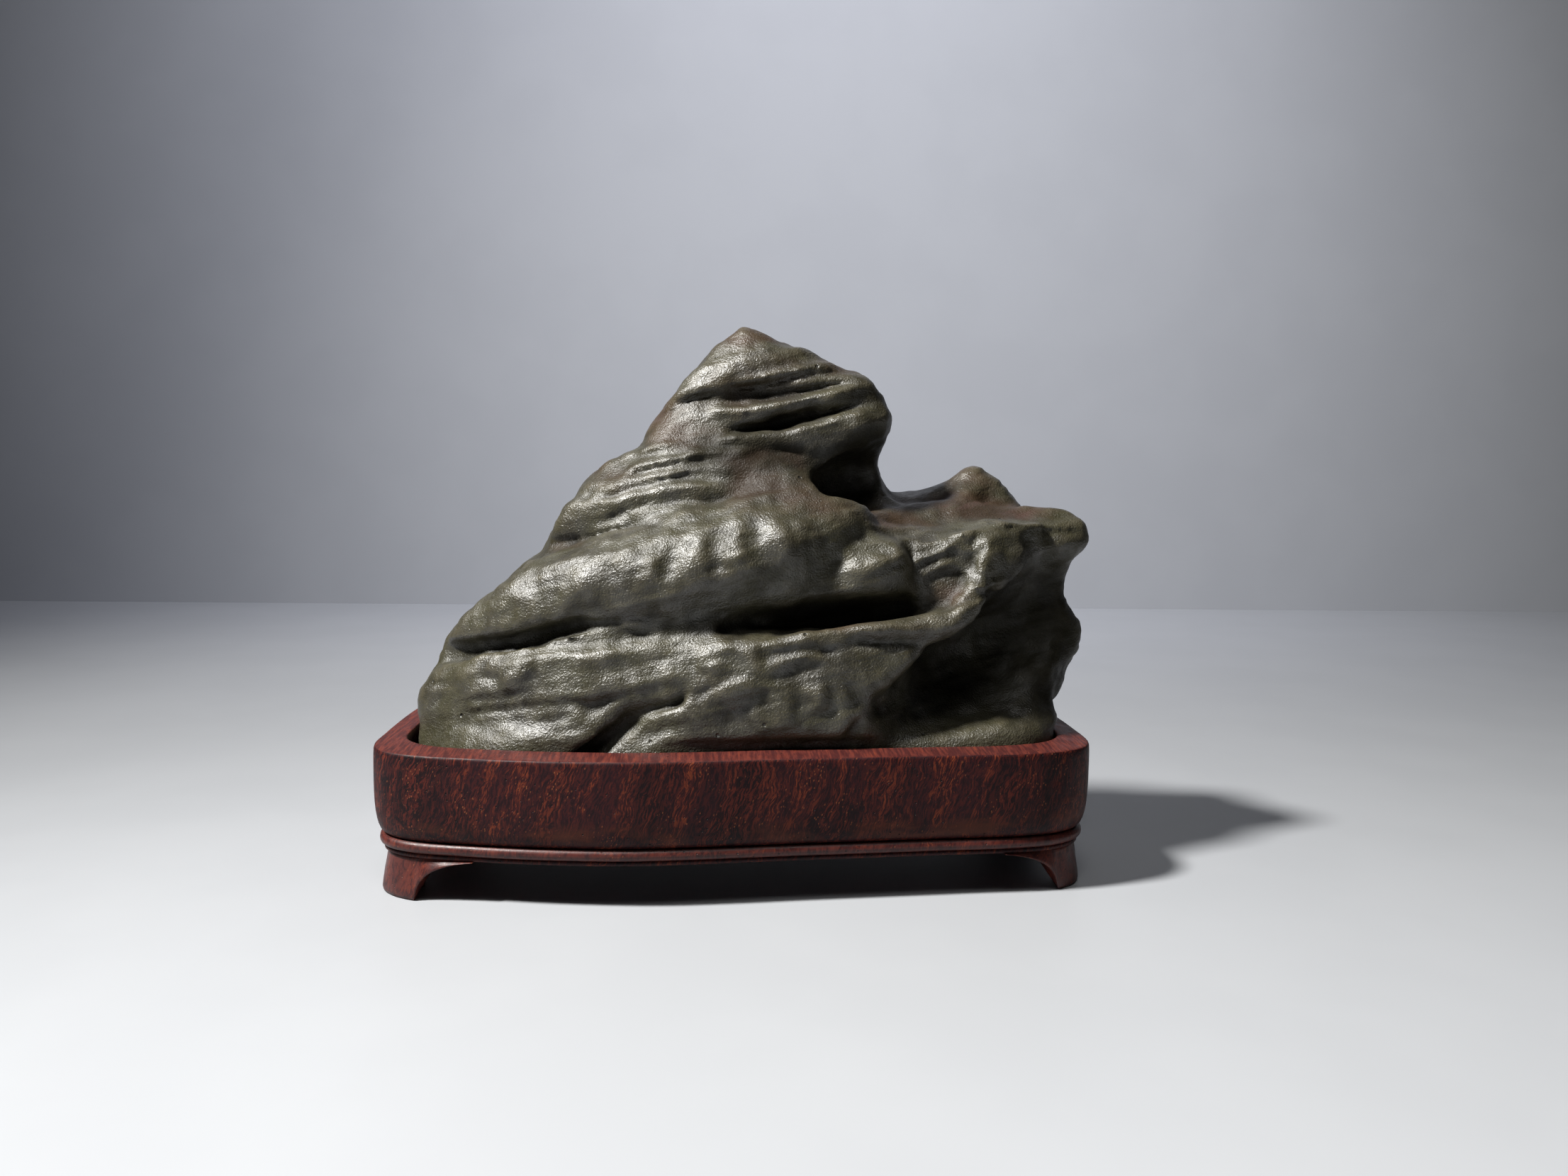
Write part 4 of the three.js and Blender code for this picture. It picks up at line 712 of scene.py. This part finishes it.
def makeRock():
    axes, field = rockField()
    verts, quads = skinField(axes, field)
    verts = smoothed(verts, quads, 1, 0.5)
    normals = vertexNormals(verts, quads)
    free = np.clip((verts[:, 2] - 31) / 3, 0, 1)          # no swelling below the rim
    bedding = verts @ np.array([[0.97, 0, 0.24], [0, 1, 0], [-0.24, 0, 0.97]]).T
    layers = bedding * np.array([0.12, 0.2, 1])
    kinds = [(verts, *kind) for kind in rock["swell"]]
    kinds += [(layers, *kind) for kind in rock["layerSwell"]]
    swell = np.zeros(len(verts))
    for seed, (points, height, size) in enumerate(kinds, 1):
        swell += height * latticeNoise(points, size, seed)
    verts = verts + normals * (swell * free * rock["swelling"])[:, None]
    normals = vertexNormals(verts, quads)
    near = ((verts - smoothed(verts, quads, 5)) * normals).sum(1)
    wide = ((verts - smoothed(verts, quads, 40)) * normals).sum(1)
    worn = np.clip(near * 5, 0, 1) * 0.6 + np.clip(wide * 0.8, 0, 1) * 0.4
    # hollow: painted shade, darker in concave places and in the listed shaded places; the skin
    # also dulls its shine there
    hollow = np.clip(-near * 2.5 - 0.1, 0, 1) * 0.4 + np.clip(-wide * 0.7 - 0.1, 0, 1) * 0.55
    hollow = nearPlaces(verts, paintedShadePlaces, hollow, 2)
    stain = nearPlaces(verts, stains, np.zeros(len(verts)), 1)
    stain = np.clip(stain * (1 + 0.5 * latticeNoise(verts, 5, 6)), 0, 1)
    piece = meshFrom("rock", verts, quads.tolist(),
                     {"worn": worn, "hollow": np.clip(hollow, 0, 1), "stain": stain})
    print("rock:", len(verts), "points,", len(quads), "faces")
    return piece


# shader helpers
def feed(tree, socket, value):
    if isinstance(value, bpy.types.NodeSocket):
        tree.links.new(value, socket)
    elif isinstance(value, (tuple, list)) and len(value) == 3 and socket.type == "RGBA":
        socket.default_value = (*value, 1)
    else:
        socket.default_value = value


def addNode(tree, kind, inputs=None, **settings):
    made = tree.nodes.new(kind)
    for key, value in settings.items():
        setattr(made, key, value)
    for key, value in (inputs or {}).items():
        feed(tree, made.inputs[key], value)
    return made


def mapped(tree, vector, scale=(1, 1, 1), turn=(0, 0, 0), move=(0, 0, 0)):
    made = addNode(tree, "ShaderNodeMapping", {"Vector": vector})
    made.inputs["Scale"].default_value = scale
    made.inputs["Rotation"].default_value = [math.radians(a) for a in turn]
    made.inputs["Location"].default_value = move
    return made.outputs[0]


def noise(tree, vector, scale, detail=2, roughness=0.5, distortion=0.0):
    made = addNode(tree, "ShaderNodeTexNoise", {"Vector": vector, "Scale": scale, "Detail": detail,
                                                "Roughness": roughness, "Distortion": distortion})
    return made.outputs["Fac"]


def cells(tree, vector, scale):
    made = addNode(tree, "ShaderNodeTexVoronoi", {"Vector": vector, "Scale": scale})
    return made.outputs["Distance"]


def steps(tree, value, low, high, toLow=0.0, toHigh=1.0):
    made = addNode(tree, "ShaderNodeMapRange", {"Value": value, "From Min": low, "From Max": high,
                                                "To Min": toLow, "To Max": toHigh},
                   interpolation_type="SMOOTHSTEP")
    return made.outputs[0]


def maths(tree, operation, a, b=0.0):
    made = tree.nodes.new("ShaderNodeMath")
    made.operation = operation
    feed(tree, made.inputs[0], a)
    feed(tree, made.inputs[1], b)
    return made.outputs[0]


def mixed(tree, factor, first, second):
    made = tree.nodes.new("ShaderNodeMix")
    made.data_type = "RGBA"
    feed(tree, made.inputs[0], factor)
    feed(tree, made.inputs[6], first)
    feed(tree, made.inputs[7], second)
    return made.outputs[2]


def bump(tree, height, distance, strength=1.0, before=None):
    made = addNode(tree, "ShaderNodeBump", {"Height": height, "Distance": distance,
                                            "Strength": strength})
    if before is not None:
        tree.links.new(before, made.inputs["Normal"])
    return made.outputs[0]


def attribute(tree, name):
    made = tree.nodes.new("ShaderNodeAttribute")
    made.attribute_name = name
    return made.outputs["Fac"]


def newMaterial(name):
    material = bpy.data.materials.new(name)
    material.use_nodes = True
    tree = material.node_tree
    shader = tree.nodes["Principled BSDF"]
    place = addNode(tree, "ShaderNodeTexCoord").outputs["Object"]
    inMm = mapped(tree, place, (1000, 1000, 1000))
    return material, tree, shader, inMm


# stone skin
stoneLook = {
    "dark": (0.0160, 0.0136, 0.0070),
    "green": (0.0305, 0.0280, 0.0138),
    "grey": (0.047, 0.0420, 0.0248),
    "brown": (0.034, 0.0205, 0.0115),
    "pink": (0.050, 0.029, 0.0220),
    "edge": (0.070, 0.061, 0.040),
    # near-black for the painted shade in hollows and for the small dark pits
    "shadeAndPits": (0.0055, 0.0050, 0.0042),
    "tilt": 14,             # degrees that the layers slope
    "polish": (0.38, 0.50), # roughness, from the smoothest to the dullest
    "wrinkles": 0.00022,    # heights in metres
    "leather": 0.00019,
    "grain": 0.00004,
    "pits": 0.0003,
}


def stoneMaterial():
    material, tree, shader, p = newMaterial("stoneSkin")
    look = stoneLook
    worn, hollow, stain = (attribute(tree, key) for key in ("worn", "hollow", "stain"))
    tilted = mapped(tree, p, turn=(0, look["tilt"], 0))
    layers = mapped(tree, tilted, (0.06, 0.1, 0.75))
    cloud = noise(tree, p, 0.075, 4, 0.6, 0.6)
    mottle = noise(tree, p, 0.33, 4, 0.62, 0.3)
    bands = noise(tree, layers, 1.0, 4, 0.6, 0.4)
    fineBands = noise(tree, layers, 2.6, 3, 0.6, 0.3)
    colour = mixed(tree, steps(tree, cloud, 0.35, 0.66), look["dark"], look["green"])
    colour = mixed(tree, steps(tree, mottle, 0.48, 0.75, 0, 0.75), colour, look["grey"])
    colour = mixed(tree, steps(tree, bands, 0.52, 0.72, 0, 0.35), colour, look["grey"])
    colour = mixed(tree, steps(tree, fineBands, 0.36, 0.52, 0.45, 0), colour, look["dark"])
    spread = maths(tree, "MULTIPLY", stain, steps(tree, mottle, 0.2, 0.62, 0.65, 1.1))
    colour = mixed(tree, steps(tree, spread, 0.12, 0.75, 0, 0.92), colour, look["brown"])
    colour = mixed(tree, maths(tree, "MULTIPLY", steps(tree, spread, 0.6, 1.0),
                               steps(tree, bands, 0.45, 0.7)), colour, look["pink"])
    colour = mixed(tree, maths(tree, "MULTIPLY", worn, steps(tree, mottle, 0.3, 0.7, 0.15, 0.6)),
                   colour, look["edge"])
    # painted shade: hollows and shaded places darkened towards near-black
    colour = mixed(tree, maths(tree, "MULTIPLY", hollow, 0.9), colour, look["shadeAndPits"])
    pit = cells(tree, p, 0.13)
    colour = mixed(tree, steps(tree, pit, 0.02, 0.06, 0.8, 0), colour, look["shadeAndPits"])
    tree.links.new(colour, shader.inputs["Base Color"])
    gloss = noise(tree, p, 0.5, 4, 0.6)
    rough = steps(tree, gloss, 0.3, 0.7, *look["polish"])
    rough = maths(tree, "ADD", rough, maths(tree, "MULTIPLY", hollow, 0.15))
    rough = maths(tree, "SUBTRACT", rough, maths(tree, "MULTIPLY", worn, 0.06))
    tree.links.new(rough, shader.inputs["Roughness"])
    shine = maths(tree, "MULTIPLY", steps(tree, hollow, 0.1, 0.8, 0.72, 0.15),
                  steps(tree, spread, 0.1, 0.8, 1.0, 0.5))
    patches = noise(tree, p, 0.21, 3, 0.55)
    shine = maths(tree, "MULTIPLY", shine, steps(tree, patches, 0.36, 0.62, 0.6, 1.15))
    tree.links.new(shine, shader.inputs["Specular IOR Level"])
    leather = noise(tree, p, 2.5, 2, 0.55)
    grain = noise(tree, p, 3.2, 2, 0.6)
    wrinkle = noise(tree, mapped(tree, tilted, (0.4, 0.5, 0.8)), 1.0, 3, 0.6)
    normal = bump(tree, wrinkle, look["wrinkles"], 0.9)
    normal = bump(tree, leather, look["leather"], 1.0, normal)
    normal = bump(tree, grain, look["grain"], 0.7, normal)
    normal = bump(tree, steps(tree, pit, 0.02, 0.07), look["pits"], 0.8, normal)
    tree.links.new(normal, shader.inputs["Normal"])
    return material


# rosewood
woodLook = {
    "lean": -17,           # degrees that the figure leans from upright
    "black": (0.0050, 0.0018, 0.0026),
    "purple": (0.0150, 0.0036, 0.0052),
    "red": (0.052, 0.0084, 0.0062),
    "orange": (0.135, 0.029, 0.0105),
    "fleck": (0.15, 0.045, 0.018),
    "rimRed": (0.080, 0.0175, 0.0125),
    "rimDark": (0.036, 0.0085, 0.0080),
    "pore": (0.001, 0.0006, 0.0006),
    "wear": (0.070, 0.018, 0.008),
    "sway": 4,              # mm that the figure wanders
    "wearBand": (11.8, 13.2, 14.2, 17.5),   # heights between which the lower edge is rubbed
    "rimFrom": 28.35,       # height where the top of the rim begins
    "traySheen": 0.15,
    "trimSheen": 0.32,
    "grain": 0.00005,       # heights in metres
    "poreDepth": 0.00025,
}


def woodMaterial(name, rough, isTray):
    material, tree, shader, p = newMaterial(name)
    look = woodLook
    ripple = addNode(tree, "ShaderNodeTexNoise", {"Vector": p, "Scale": 0.12, "Detail": 3.0,
                                                  "Roughness": 0.6}).outputs["Color"]
    bend = addNode(tree, "ShaderNodeVectorMath", {0: ripple, 1: [look["sway"]] * 3},
                   operation="MULTIPLY")
    warped = addNode(tree, "ShaderNodeVectorMath", {0: p, 1: bend.outputs[0]}, operation="ADD")
    leaning = mapped(tree, warped.outputs[0], turn=(0, look["lean"], 0))
    straight = mapped(tree, p, turn=(0, look["lean"], 0))
    broad = noise(tree, mapped(tree, leaning, (0.085, 0.06, 0.012)), 1.0, 4, 0.6, 0.5)
    streak = noise(tree, mapped(tree, leaning, (0.42, 0.25, 0.04)), 1.0, 4, 0.6, 0.3)
    lace = noise(tree, mapped(tree, leaning, (3.0, 1.8, 0.42)), 1.0, 4, 0.66, 0.3)
    colour = mixed(tree, steps(tree, broad, 0.38, 0.58), look["black"], look["purple"])
    colour = mixed(tree, maths(tree, "MULTIPLY", steps(tree, streak, 0.42, 0.66, 0, 0.5),
                               steps(tree, broad, 0.4, 0.58, 0.15, 1.0)), colour, look["red"])
    colour = mixed(tree, maths(tree, "MULTIPLY", steps(tree, lace, 0.48, 0.54, 0, 0.9),
                               steps(tree, streak, 0.4, 0.6, 0.45, 1.0)), colour, look["red"])
    colour = mixed(tree, maths(tree, "MULTIPLY", steps(tree, lace, 0.52, 0.58, 0, 0.9),
                               maths(tree, "MULTIPLY", steps(tree, streak, 0.44, 0.6),
                                     steps(tree, broad, 0.42, 0.6, 0.1, 1.0))), colour,
                   look["orange"])
    colour = mixed(tree, steps(tree, lace, 0.40, 0.46, 0.6, 0), colour, look["black"])
    flecks = cells(tree, mapped(tree, straight, (1.7, 1.2, 0.9)), 1.0)
    where = noise(tree, p, 0.2, 2, 0.5)
    colour = mixed(tree, maths(tree, "MULTIPLY", steps(tree, flecks, 0.12, 0.24, 0.85, 0),
                               steps(tree, where, 0.42, 0.62)), colour, look["fleck"])
    pores = cells(tree, mapped(tree, p, (0.62, 0.62, 0.62)), 1.0)
    poreWhere = noise(tree, mapped(tree, p, (0.07, 0.07, 0.11), move=(3, 1, 7)), 1.0, 2, 0.5)
    pore = maths(tree, "MULTIPLY", steps(tree, pores, 0.06, 0.12, 1, 0),
                 steps(tree, poreWhere, 0.47, 0.56))
    if isTray:
        z = addNode(tree, "ShaderNodeSeparateXYZ", {"Vector": p}).outputs["Z"]
        low = maths(tree, "MULTIPLY", steps(tree, z, *look["wearBand"][:2]),
                    steps(tree, z, *look["wearBand"][2:], 1, 0))
        patchy = noise(tree, mapped(tree, p, (0.08, 0.08, 0.2)), 1.0, 3, 0.6)
        colour = mixed(tree, maths(tree, "MULTIPLY", low, steps(tree, patchy, 0.42, 0.68, 0, 0.7)),
                       colour, look["wear"])
        rim = steps(tree, z, look["rimFrom"], look["rimFrom"] + 0.25)
        across = noise(tree, mapped(tree, p, (1.5, 0.14, 1.0), turn=(0, 0, 6)), 1.0, 3, 0.6, 0.3)
        rimColour = mixed(tree, steps(tree, across, 0.38, 0.64), look["rimDark"], look["rimRed"])
        rimColour = mixed(tree, steps(tree, across, 0.62, 0.72, 0, 0.5), rimColour, look["orange"])
        colour = mixed(tree, rim, colour, rimColour)
    else:
        along = noise(tree, mapped(tree, p, (0.9, 0.9, 0.5)), 1.0, 3, 0.6)
        colour = mixed(tree, steps(tree, along, 0.4, 0.6, 0.15, 0.6), colour, look["rimRed"])
    colour = mixed(tree, pore, colour, look["pore"])
    tree.links.new(colour, shader.inputs["Base Color"])
    sheen = look["traySheen"] if isTray else look["trimSheen"]
    shader.inputs["Specular IOR Level"].default_value = sheen
    gloss = noise(tree, p, 0.35, 3, 0.6)
    tree.links.new(steps(tree, gloss, 0.3, 0.7, rough - 0.05, rough + 0.08),
                   shader.inputs["Roughness"])
    normal = bump(tree, lace, look["grain"], 0.5)
    normal = bump(tree, maths(tree, "SUBTRACT", 1.0, pore), look["poreDepth"], 0.9, normal)
    planing = noise(tree, mapped(tree, p, (0.5, 0.5, 3.0)), 1.0, 3, 0.6)
    normal = bump(tree, planing, look["grain"], 0.5, normal)
    tree.links.new(normal, shader.inputs["Normal"])
    return material


# stand
tray = {
    # inset from the plan and height: base strip, quirk, swelling face, arris
    "profile": [(2.6, 8.3), (2.15, 8.34), (1.95, 8.5), (1.9, 8.8), (1.95, 9.1), (2.2, 9.3),
                (2.6, 9.5), (2.9, 10.2), (2.9, 11.2), (2.55, 11.5), (2.1, 11.65), (1.65, 11.95),
                (1.2, 12.5), (0.8, 13.4), (0.5, 14.5), (0.28, 15.8), (0.12, 17.4), (0.04, 19.2),
                (0.0, 21.2), (0.0, 23.2), (0.0, 25.2), (0.02, 27.0), (0.08, 28.0), (0.2, 28.42),
                (0.4, 28.58)],
    # part of the way from the face to the recess, and height
    "rim": [(0.12, 28.66), (0.45, 28.86), (0.8, 29.04), (0.93, 29.08), (0.985, 29.0),
            (1.0, 28.8)],
    "recess": (28.0, 26.0, 22.0, 17.0, 14.0),   # heights down to its floor
    "waves": [(0.12, 22), (0.04, 8)],           # hand-carved unevenness: height and size
}


def outward(loop):
    along = np.roll(loop, -1, 0) - np.roll(loop, 1, 0)
    along /= np.linalg.norm(along, axis=1)[:, None]
    return np.stack([along[:, 1], -along[:, 0]], 1)


def insetLoop(loop, inset):
    return loop - outward(loop) * inset


def ringFaces(first, second, count):
    return [(first + i, first + (i + 1) % count, second + (i + 1) % count, second + i)
            for i in range(count)]


def makeTray():
    seat = smoothLoop(seatPlan, planSteps)
    count = len(trayLoop)
    rings = [np.column_stack([insetLoop(trayLoop, inset), np.full(count, z)])
             for inset, z in tray["profile"]]
    start = insetLoop(trayLoop, tray["profile"][-1][0])
    for part, z in tray["rim"]:
        rings.append(np.column_stack([start + (seat - start) * part, np.full(count, z)]))
    for z in tray["recess"]:
        rings.append(np.column_stack([seat, np.full(count, z)]))
    verts = np.vstack(rings)
    faces = []
    for k in range(len(rings) - 1):
        faces += ringFaces(k * count, (k + 1) * count, count)
    faces.append(tuple(reversed(range(count))))                                # underside
    faces.append(tuple(range((len(rings) - 1) * count, len(rings) * count)))   # recess floor
    wave = sum(latticeNoise(verts, size, seed) * height
               for seed, (height, size) in enumerate(tray["waves"], 11))
    top = np.clip((verts[:, 2] - 26) / 2.5, 0, 1)
    face = np.clip((verts[:, 2] - 12) / 3, 0, 1)
    away = np.vstack([np.column_stack([outward(trayLoop), np.zeros(count)])] * len(rings))
    verts = verts - away * (np.abs(wave) * face)[:, None]
    verts[:, 2] -= np.abs(wave) * top * 1.2
    return meshFrom("trayBody", verts, faces)


bead = {"inset": 2.2, "height": 10.42, "radius": 1.14, "sides": 20, "stations": 520}


def makeBead(material):
    loop = insetLoop(trayLoop, bead["inset"])
    data = bpy.data.curves.new("beadPath", "CURVE")
    data.dimensions = "3D"
    path = data.splines.new("POLY")
    path.points.add(len(loop) - 1)
    for point, (px, py) in zip(path.points, loop):
        point.co = (*((np.array((px, py, bead["height"])) + shift) * mm), 1)
    path.use_cyclic_u = True
    piece = bpy.data.objects.new("beadPath", data)
    bpy.context.scene.collection.objects.link(piece)
    tree = bpy.data.node_groups.new("beadSweep", "GeometryNodeTree")
    face = tree.interface
    face.new_socket("Geometry", in_out="INPUT", socket_type="NodeSocketGeometry")
    for label, kind in (("Radius", "NodeSocketFloat"), ("Sides", "NodeSocketInt"),
                        ("Stations", "NodeSocketInt"), ("Wood", "NodeSocketMaterial")):
        face.new_socket(label, in_out="INPUT", socket_type=kind)
    face.new_socket("Geometry", in_out="OUTPUT", socket_type="NodeSocketGeometry")
    given = tree.nodes.new("NodeGroupInput").outputs
    stations = addNode(tree, "GeometryNodeResampleCurve", {"Curve": given["Geometry"],
                                                           "Count": given["Stations"]})
    upright = addNode(tree, "GeometryNodeSetCurveNormal", {"Curve": stations.outputs[0]})
    ring = addNode(tree, "GeometryNodeCurvePrimitiveCircle", {"Resolution": given["Sides"],
                                                              "Radius": given["Radius"]})
    sweep = addNode(tree, "GeometryNodeCurveToMesh", {"Curve": upright.outputs[0],
                                                      "Profile Curve": ring.outputs["Curve"]})
    soft = addNode(tree, "GeometryNodeSetShadeSmooth", {"Geometry": sweep.outputs[0]})
    real = addNode(tree, "GeometryNodeRealizeInstances", {"Geometry": soft.outputs[0]})
    finish = addNode(tree, "GeometryNodeSetMaterial", {"Geometry": real.outputs[0],
                                                       "Material": given["Wood"]})
    tree.links.new(finish.outputs[0], tree.nodes.new("NodeGroupOutput").inputs[0])
    modifier = piece.modifiers.new("sweep", "NODES")
    modifier.node_group = tree
    sockets = {item.name: item.identifier for item in face.items_tree if item.in_out == "INPUT"}
    modifier[sockets["Radius"]] = bead["radius"] * mm
    modifier[sockets["Sides"]] = bead["sides"]
    modifier[sockets["Stations"]] = bead["stations"]
    modifier[sockets["Wood"]] = material
    return plainMesh(piece, "beadMoulding")


def plainMesh(piece, name):
    evaluated = piece.evaluated_get(bpy.context.evaluated_depsgraph_get())
    mesh = bpy.data.meshes.new_from_object(evaluated)
    mesh.name = name
    made = bpy.data.objects.new(name, mesh)
    bpy.context.scene.collection.objects.link(made)
    bpy.data.objects.remove(piece)
    return made


foot = {
    "top": 8.5,
    "archTop": 8.25,
    "frontMiddle": 0.9,
    "frontSpan": 62.6,      # half the front opening at the floor
    "frontReach": 12,       # how far each bracket grows into it at the top
    "sideMiddle": -1,
    "sideSpan": 16,
    "sideReach": 8,
    # inset from the plan, and part of the height
    "outside": [(2.7, 1.0), (2.55, 0.9), (2.3, 0.72), (1.9, 0.48), (1.6, 0.24), (1.45, 0.08),
                (1.6, 0.02)],
    "inside": [(8.7, 0.0), (8.95, 0.06), (9.3, 0.4), (9.6, 0.75), (9.7, 1.0)],
    "spacing": 0.45,        # mm between sections along the plan
    "toolMarks": ((0.22, 4), (0.08, 1.7)),  # height and size
}


def archHeight(offset, span, reach):
    u = np.linspace(0, 1, 60)
    across = (1 - u) ** 2 * span + 2 * u * (1 - u) * (span - 0.6) + u * u * (span - reach)
    height = (1 - u) ** 2 * 0.8 + 2 * u * (1 - u) * 7.1 + u * u * foot["archTop"]
    out = np.interp(np.abs(offset), across[::-1], height[::-1], left=foot["archTop"])
    return np.where(np.abs(offset) > span, 0.0, out)


def undersideAt(xy):
    front = archHeight(xy[:, 0] - foot["frontMiddle"], foot["frontSpan"], foot["frontReach"])
    side = archHeight(xy[:, 1] - foot["sideMiddle"], foot["sideSpan"], foot["sideReach"])
    return np.maximum(front, side)


def makeFoot(name, signX, signY, seed):
    step = np.linalg.norm(np.roll(trayLoop, -1, 0) - trayLoop, axis=1)
    reach = np.concatenate([[0], np.cumsum(step)])
    stations = np.arange(0, reach[-1], foot["spacing"])
    closed = np.vstack([trayLoop, trayLoop[:1]])
    line = np.column_stack([np.interp(stations, reach, closed[:, k]) for k in (0, 1)])
    normal = outward(line)
    outerLow = undersideAt(line - normal * 1.5)
    here = (outerLow < foot["archTop"] - 0.05) & (line[:, 0] * signX > 0)
    here &= (line[:, 1] - foot["sideMiddle"]) * signY > 0
    picked = np.argwhere(here).ravel()
    gap = np.argwhere(np.diff(picked) > 1).ravel()
    if len(gap):                                     # the foot lies across the start of the loop
        picked = np.concatenate([picked[gap[0] + 1:], picked[:gap[0] + 1]])
    sections = []
    for i in picked:
        ring = []
        for inset, part in foot["outside"] + foot["inside"]:
            xy = line[i] - normal[i] * inset
            low = float(undersideAt(xy[None, :])[0])
            ring.append((xy[0], xy[1], low + (foot["top"] - low) * part))
        sections.append(ring)
    count = len(sections[0])
    verts = np.array(sections).reshape(-1, 3)
    faces = []
    for k in range(len(sections) - 1):
        for j in range(count):
            a, b = k * count + j, k * count + (j + 1) % count
            faces.append((a, b, b + count, a + count))
    faces.append(tuple(reversed(range(count))))
    faces.append(tuple(range((len(sections) - 1) * count, len(sections) * count)))
    rough = sum(latticeNoise(verts, size, seed + k) * height
                for k, (height, size) in enumerate(foot["toolMarks"]))
    cutEdge = np.clip((5 - verts[:, 2]) / 5, 0, 1)
    verts[:, 0] += rough * cutEdge * 0.6
    verts[:, 1] += np.roll(rough, 3) * cutEdge * 0.6
    verts[:, 2] = np.maximum(verts[:, 2] + np.abs(rough) * (verts[:, 2] < 1.5) * 0.8, 0)
    return meshFrom(name, verts, faces)


print("building the stone")
stonePiece = makeRock()
stonePiece.data.materials.append(stoneMaterial())
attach(stonePiece, "root")
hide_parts("stone")

print("building the stand")
trayWood = woodMaterial("rosewood", 0.5, True)
trimWood = woodMaterial("rosewoodTrim", 0.42, False)
trayPiece = makeTray()
trayPiece.data.materials.append(trayWood)
standPieces = [trayPiece, makeBead(trimWood)]
for name, signX, signY, seed in (("footFrontLeft", -1, -1, 21), ("footFrontRight", 1, -1, 31),
                                 ("footBackRight", 1, 1, 41), ("footBackLeft", -1, 1, 51)):
    piece = makeFoot(name, signX, signY, seed)
    piece.data.materials.append(trimWood)
    standPieces.append(piece)
for piece in standPieces:
    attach(piece, "root")
    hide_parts("stand")

# studio
studio = {
    "wallY": 0.52, "wallTop": 1.4, "halfWidth": 2.0, "front": -1.6,
    "pale": (0.288, 0.296, 0.312), "shade": (0.280, 0.288, 0.304),
    "airTint": (0.75, 0.8, 0.9, 1), "airGlow": 0.02,
}


def makeStudio():
    line = [(studio["front"], 0.0), (studio["wallY"], 0.0), (studio["wallY"], studio["wallTop"])]
    mesh = bpy.data.meshes.new("studioFloor")
    verts = [(x, y, z) for y, z in line for x in (-studio["halfWidth"], studio["halfWidth"])]
    faces = [(2 * k, 2 * k + 1, 2 * k + 3, 2 * k + 2) for k in range(len(line) - 1)]
    mesh.from_pydata(verts, [], faces)
    mesh.update()
    floor = bpy.data.objects.new("studioFloor", mesh)
    bpy.context.scene.collection.objects.link(floor)
    material, tree, shader, p = newMaterial("paleFloor")
    tone = noise(tree, p, 0.02, 3, 0.5)
    colour = mixed(tree, steps(tree, tone, 0.35, 0.65), studio["shade"], studio["pale"])
    tree.links.new(colour, shader.inputs["Base Color"])
    shader.inputs["Roughness"].default_value = 0.5
    shader.inputs["Specular IOR Level"].default_value = 0.3
    mesh.materials.append(material)


lamps = [
    # name, place, target, radius, cone in degrees, power, colour
    ("keyLamp", (-0.44, -0.20, 0.62), (0.30, 0.0, 0.0), 0.05, 110, 53.0, (1, 0.985, 0.95)),
    ("frontLamp", (-0.44, -0.20, 0.62), (0.10, -0.30, 0.0), 0.05, 75, 29.0, (1, 0.985, 0.95)),
    ("wallLamp", (0.05, -0.20, 1.10), (0.04, 0.52, 0.37), 0.15, 62, 76.0, (0.95, 0.965, 1.06)),
    ("tableLamp", (0.0, -0.40, 0.90), (0.0, -0.30, 0.0), 0.15, 60, 11.0, (1, 0.985, 0.95)),
]


def addLamps():
    for name, place, target, radius, cone, power, colour in lamps:
        data = bpy.data.lights.new(name, "SPOT")
        data.shadow_soft_size = radius
        data.spot_size = math.radians(cone)
        data.spot_blend = 1.0
        data.energy = power
        data.color = colour
        lamp = bpy.data.objects.new(name, data)
        lamp.location = place
        lamp.rotation_euler = (Vector(target) - Vector(place)).to_track_quat("-Z", "Y").to_euler()
        bpy.context.scene.collection.objects.link(lamp)


view = {"lens": 27.2, "sensor": 36, "pitch": 5, "yaw": 3.8, "roll": 0.8}   # mm and degrees


def makeCamera():
    pitch, yaw, roll = (math.radians(view[turn]) for turn in ("pitch", "yaw", "roll"))
    ahead = Vector((math.sin(yaw) * math.cos(pitch), math.cos(yaw) * math.cos(pitch),
                    -math.sin(pitch)))
    level = Vector((math.cos(yaw), -math.sin(yaw), 0))
    above = level.cross(ahead)
    right = level * math.cos(roll) + above * math.sin(roll)
    up = above * math.cos(roll) - level * math.sin(roll)
    data = bpy.data.cameras.new("camera")
    data.sensor_width = view["sensor"]
    data.lens = view["lens"]
    data.clip_start = 0.01
    camera = bpy.data.objects.new("camera", data)
    bpy.context.scene.collection.objects.link(camera)
    matrix = Matrix((right, up, -ahead)).transposed().to_4x4()
    matrix.translation = (Vector(eye) + Vector((shift[0], shift[1], 0))) * mm
    camera.matrix_world = matrix
    bpy.context.scene.camera = camera


print("studio, lights and camera")
makeStudio()
makeCamera()
addLamps()
world = bpy.data.worlds.new("room")
bpy.context.scene.world = world
world.use_nodes = True
air = world.node_tree.nodes["Background"]
air.inputs[0].default_value = studio["airTint"]
air.inputs[1].default_value = studio["airGlow"]
bpy.context.scene.view_settings.view_transform = "Standard"
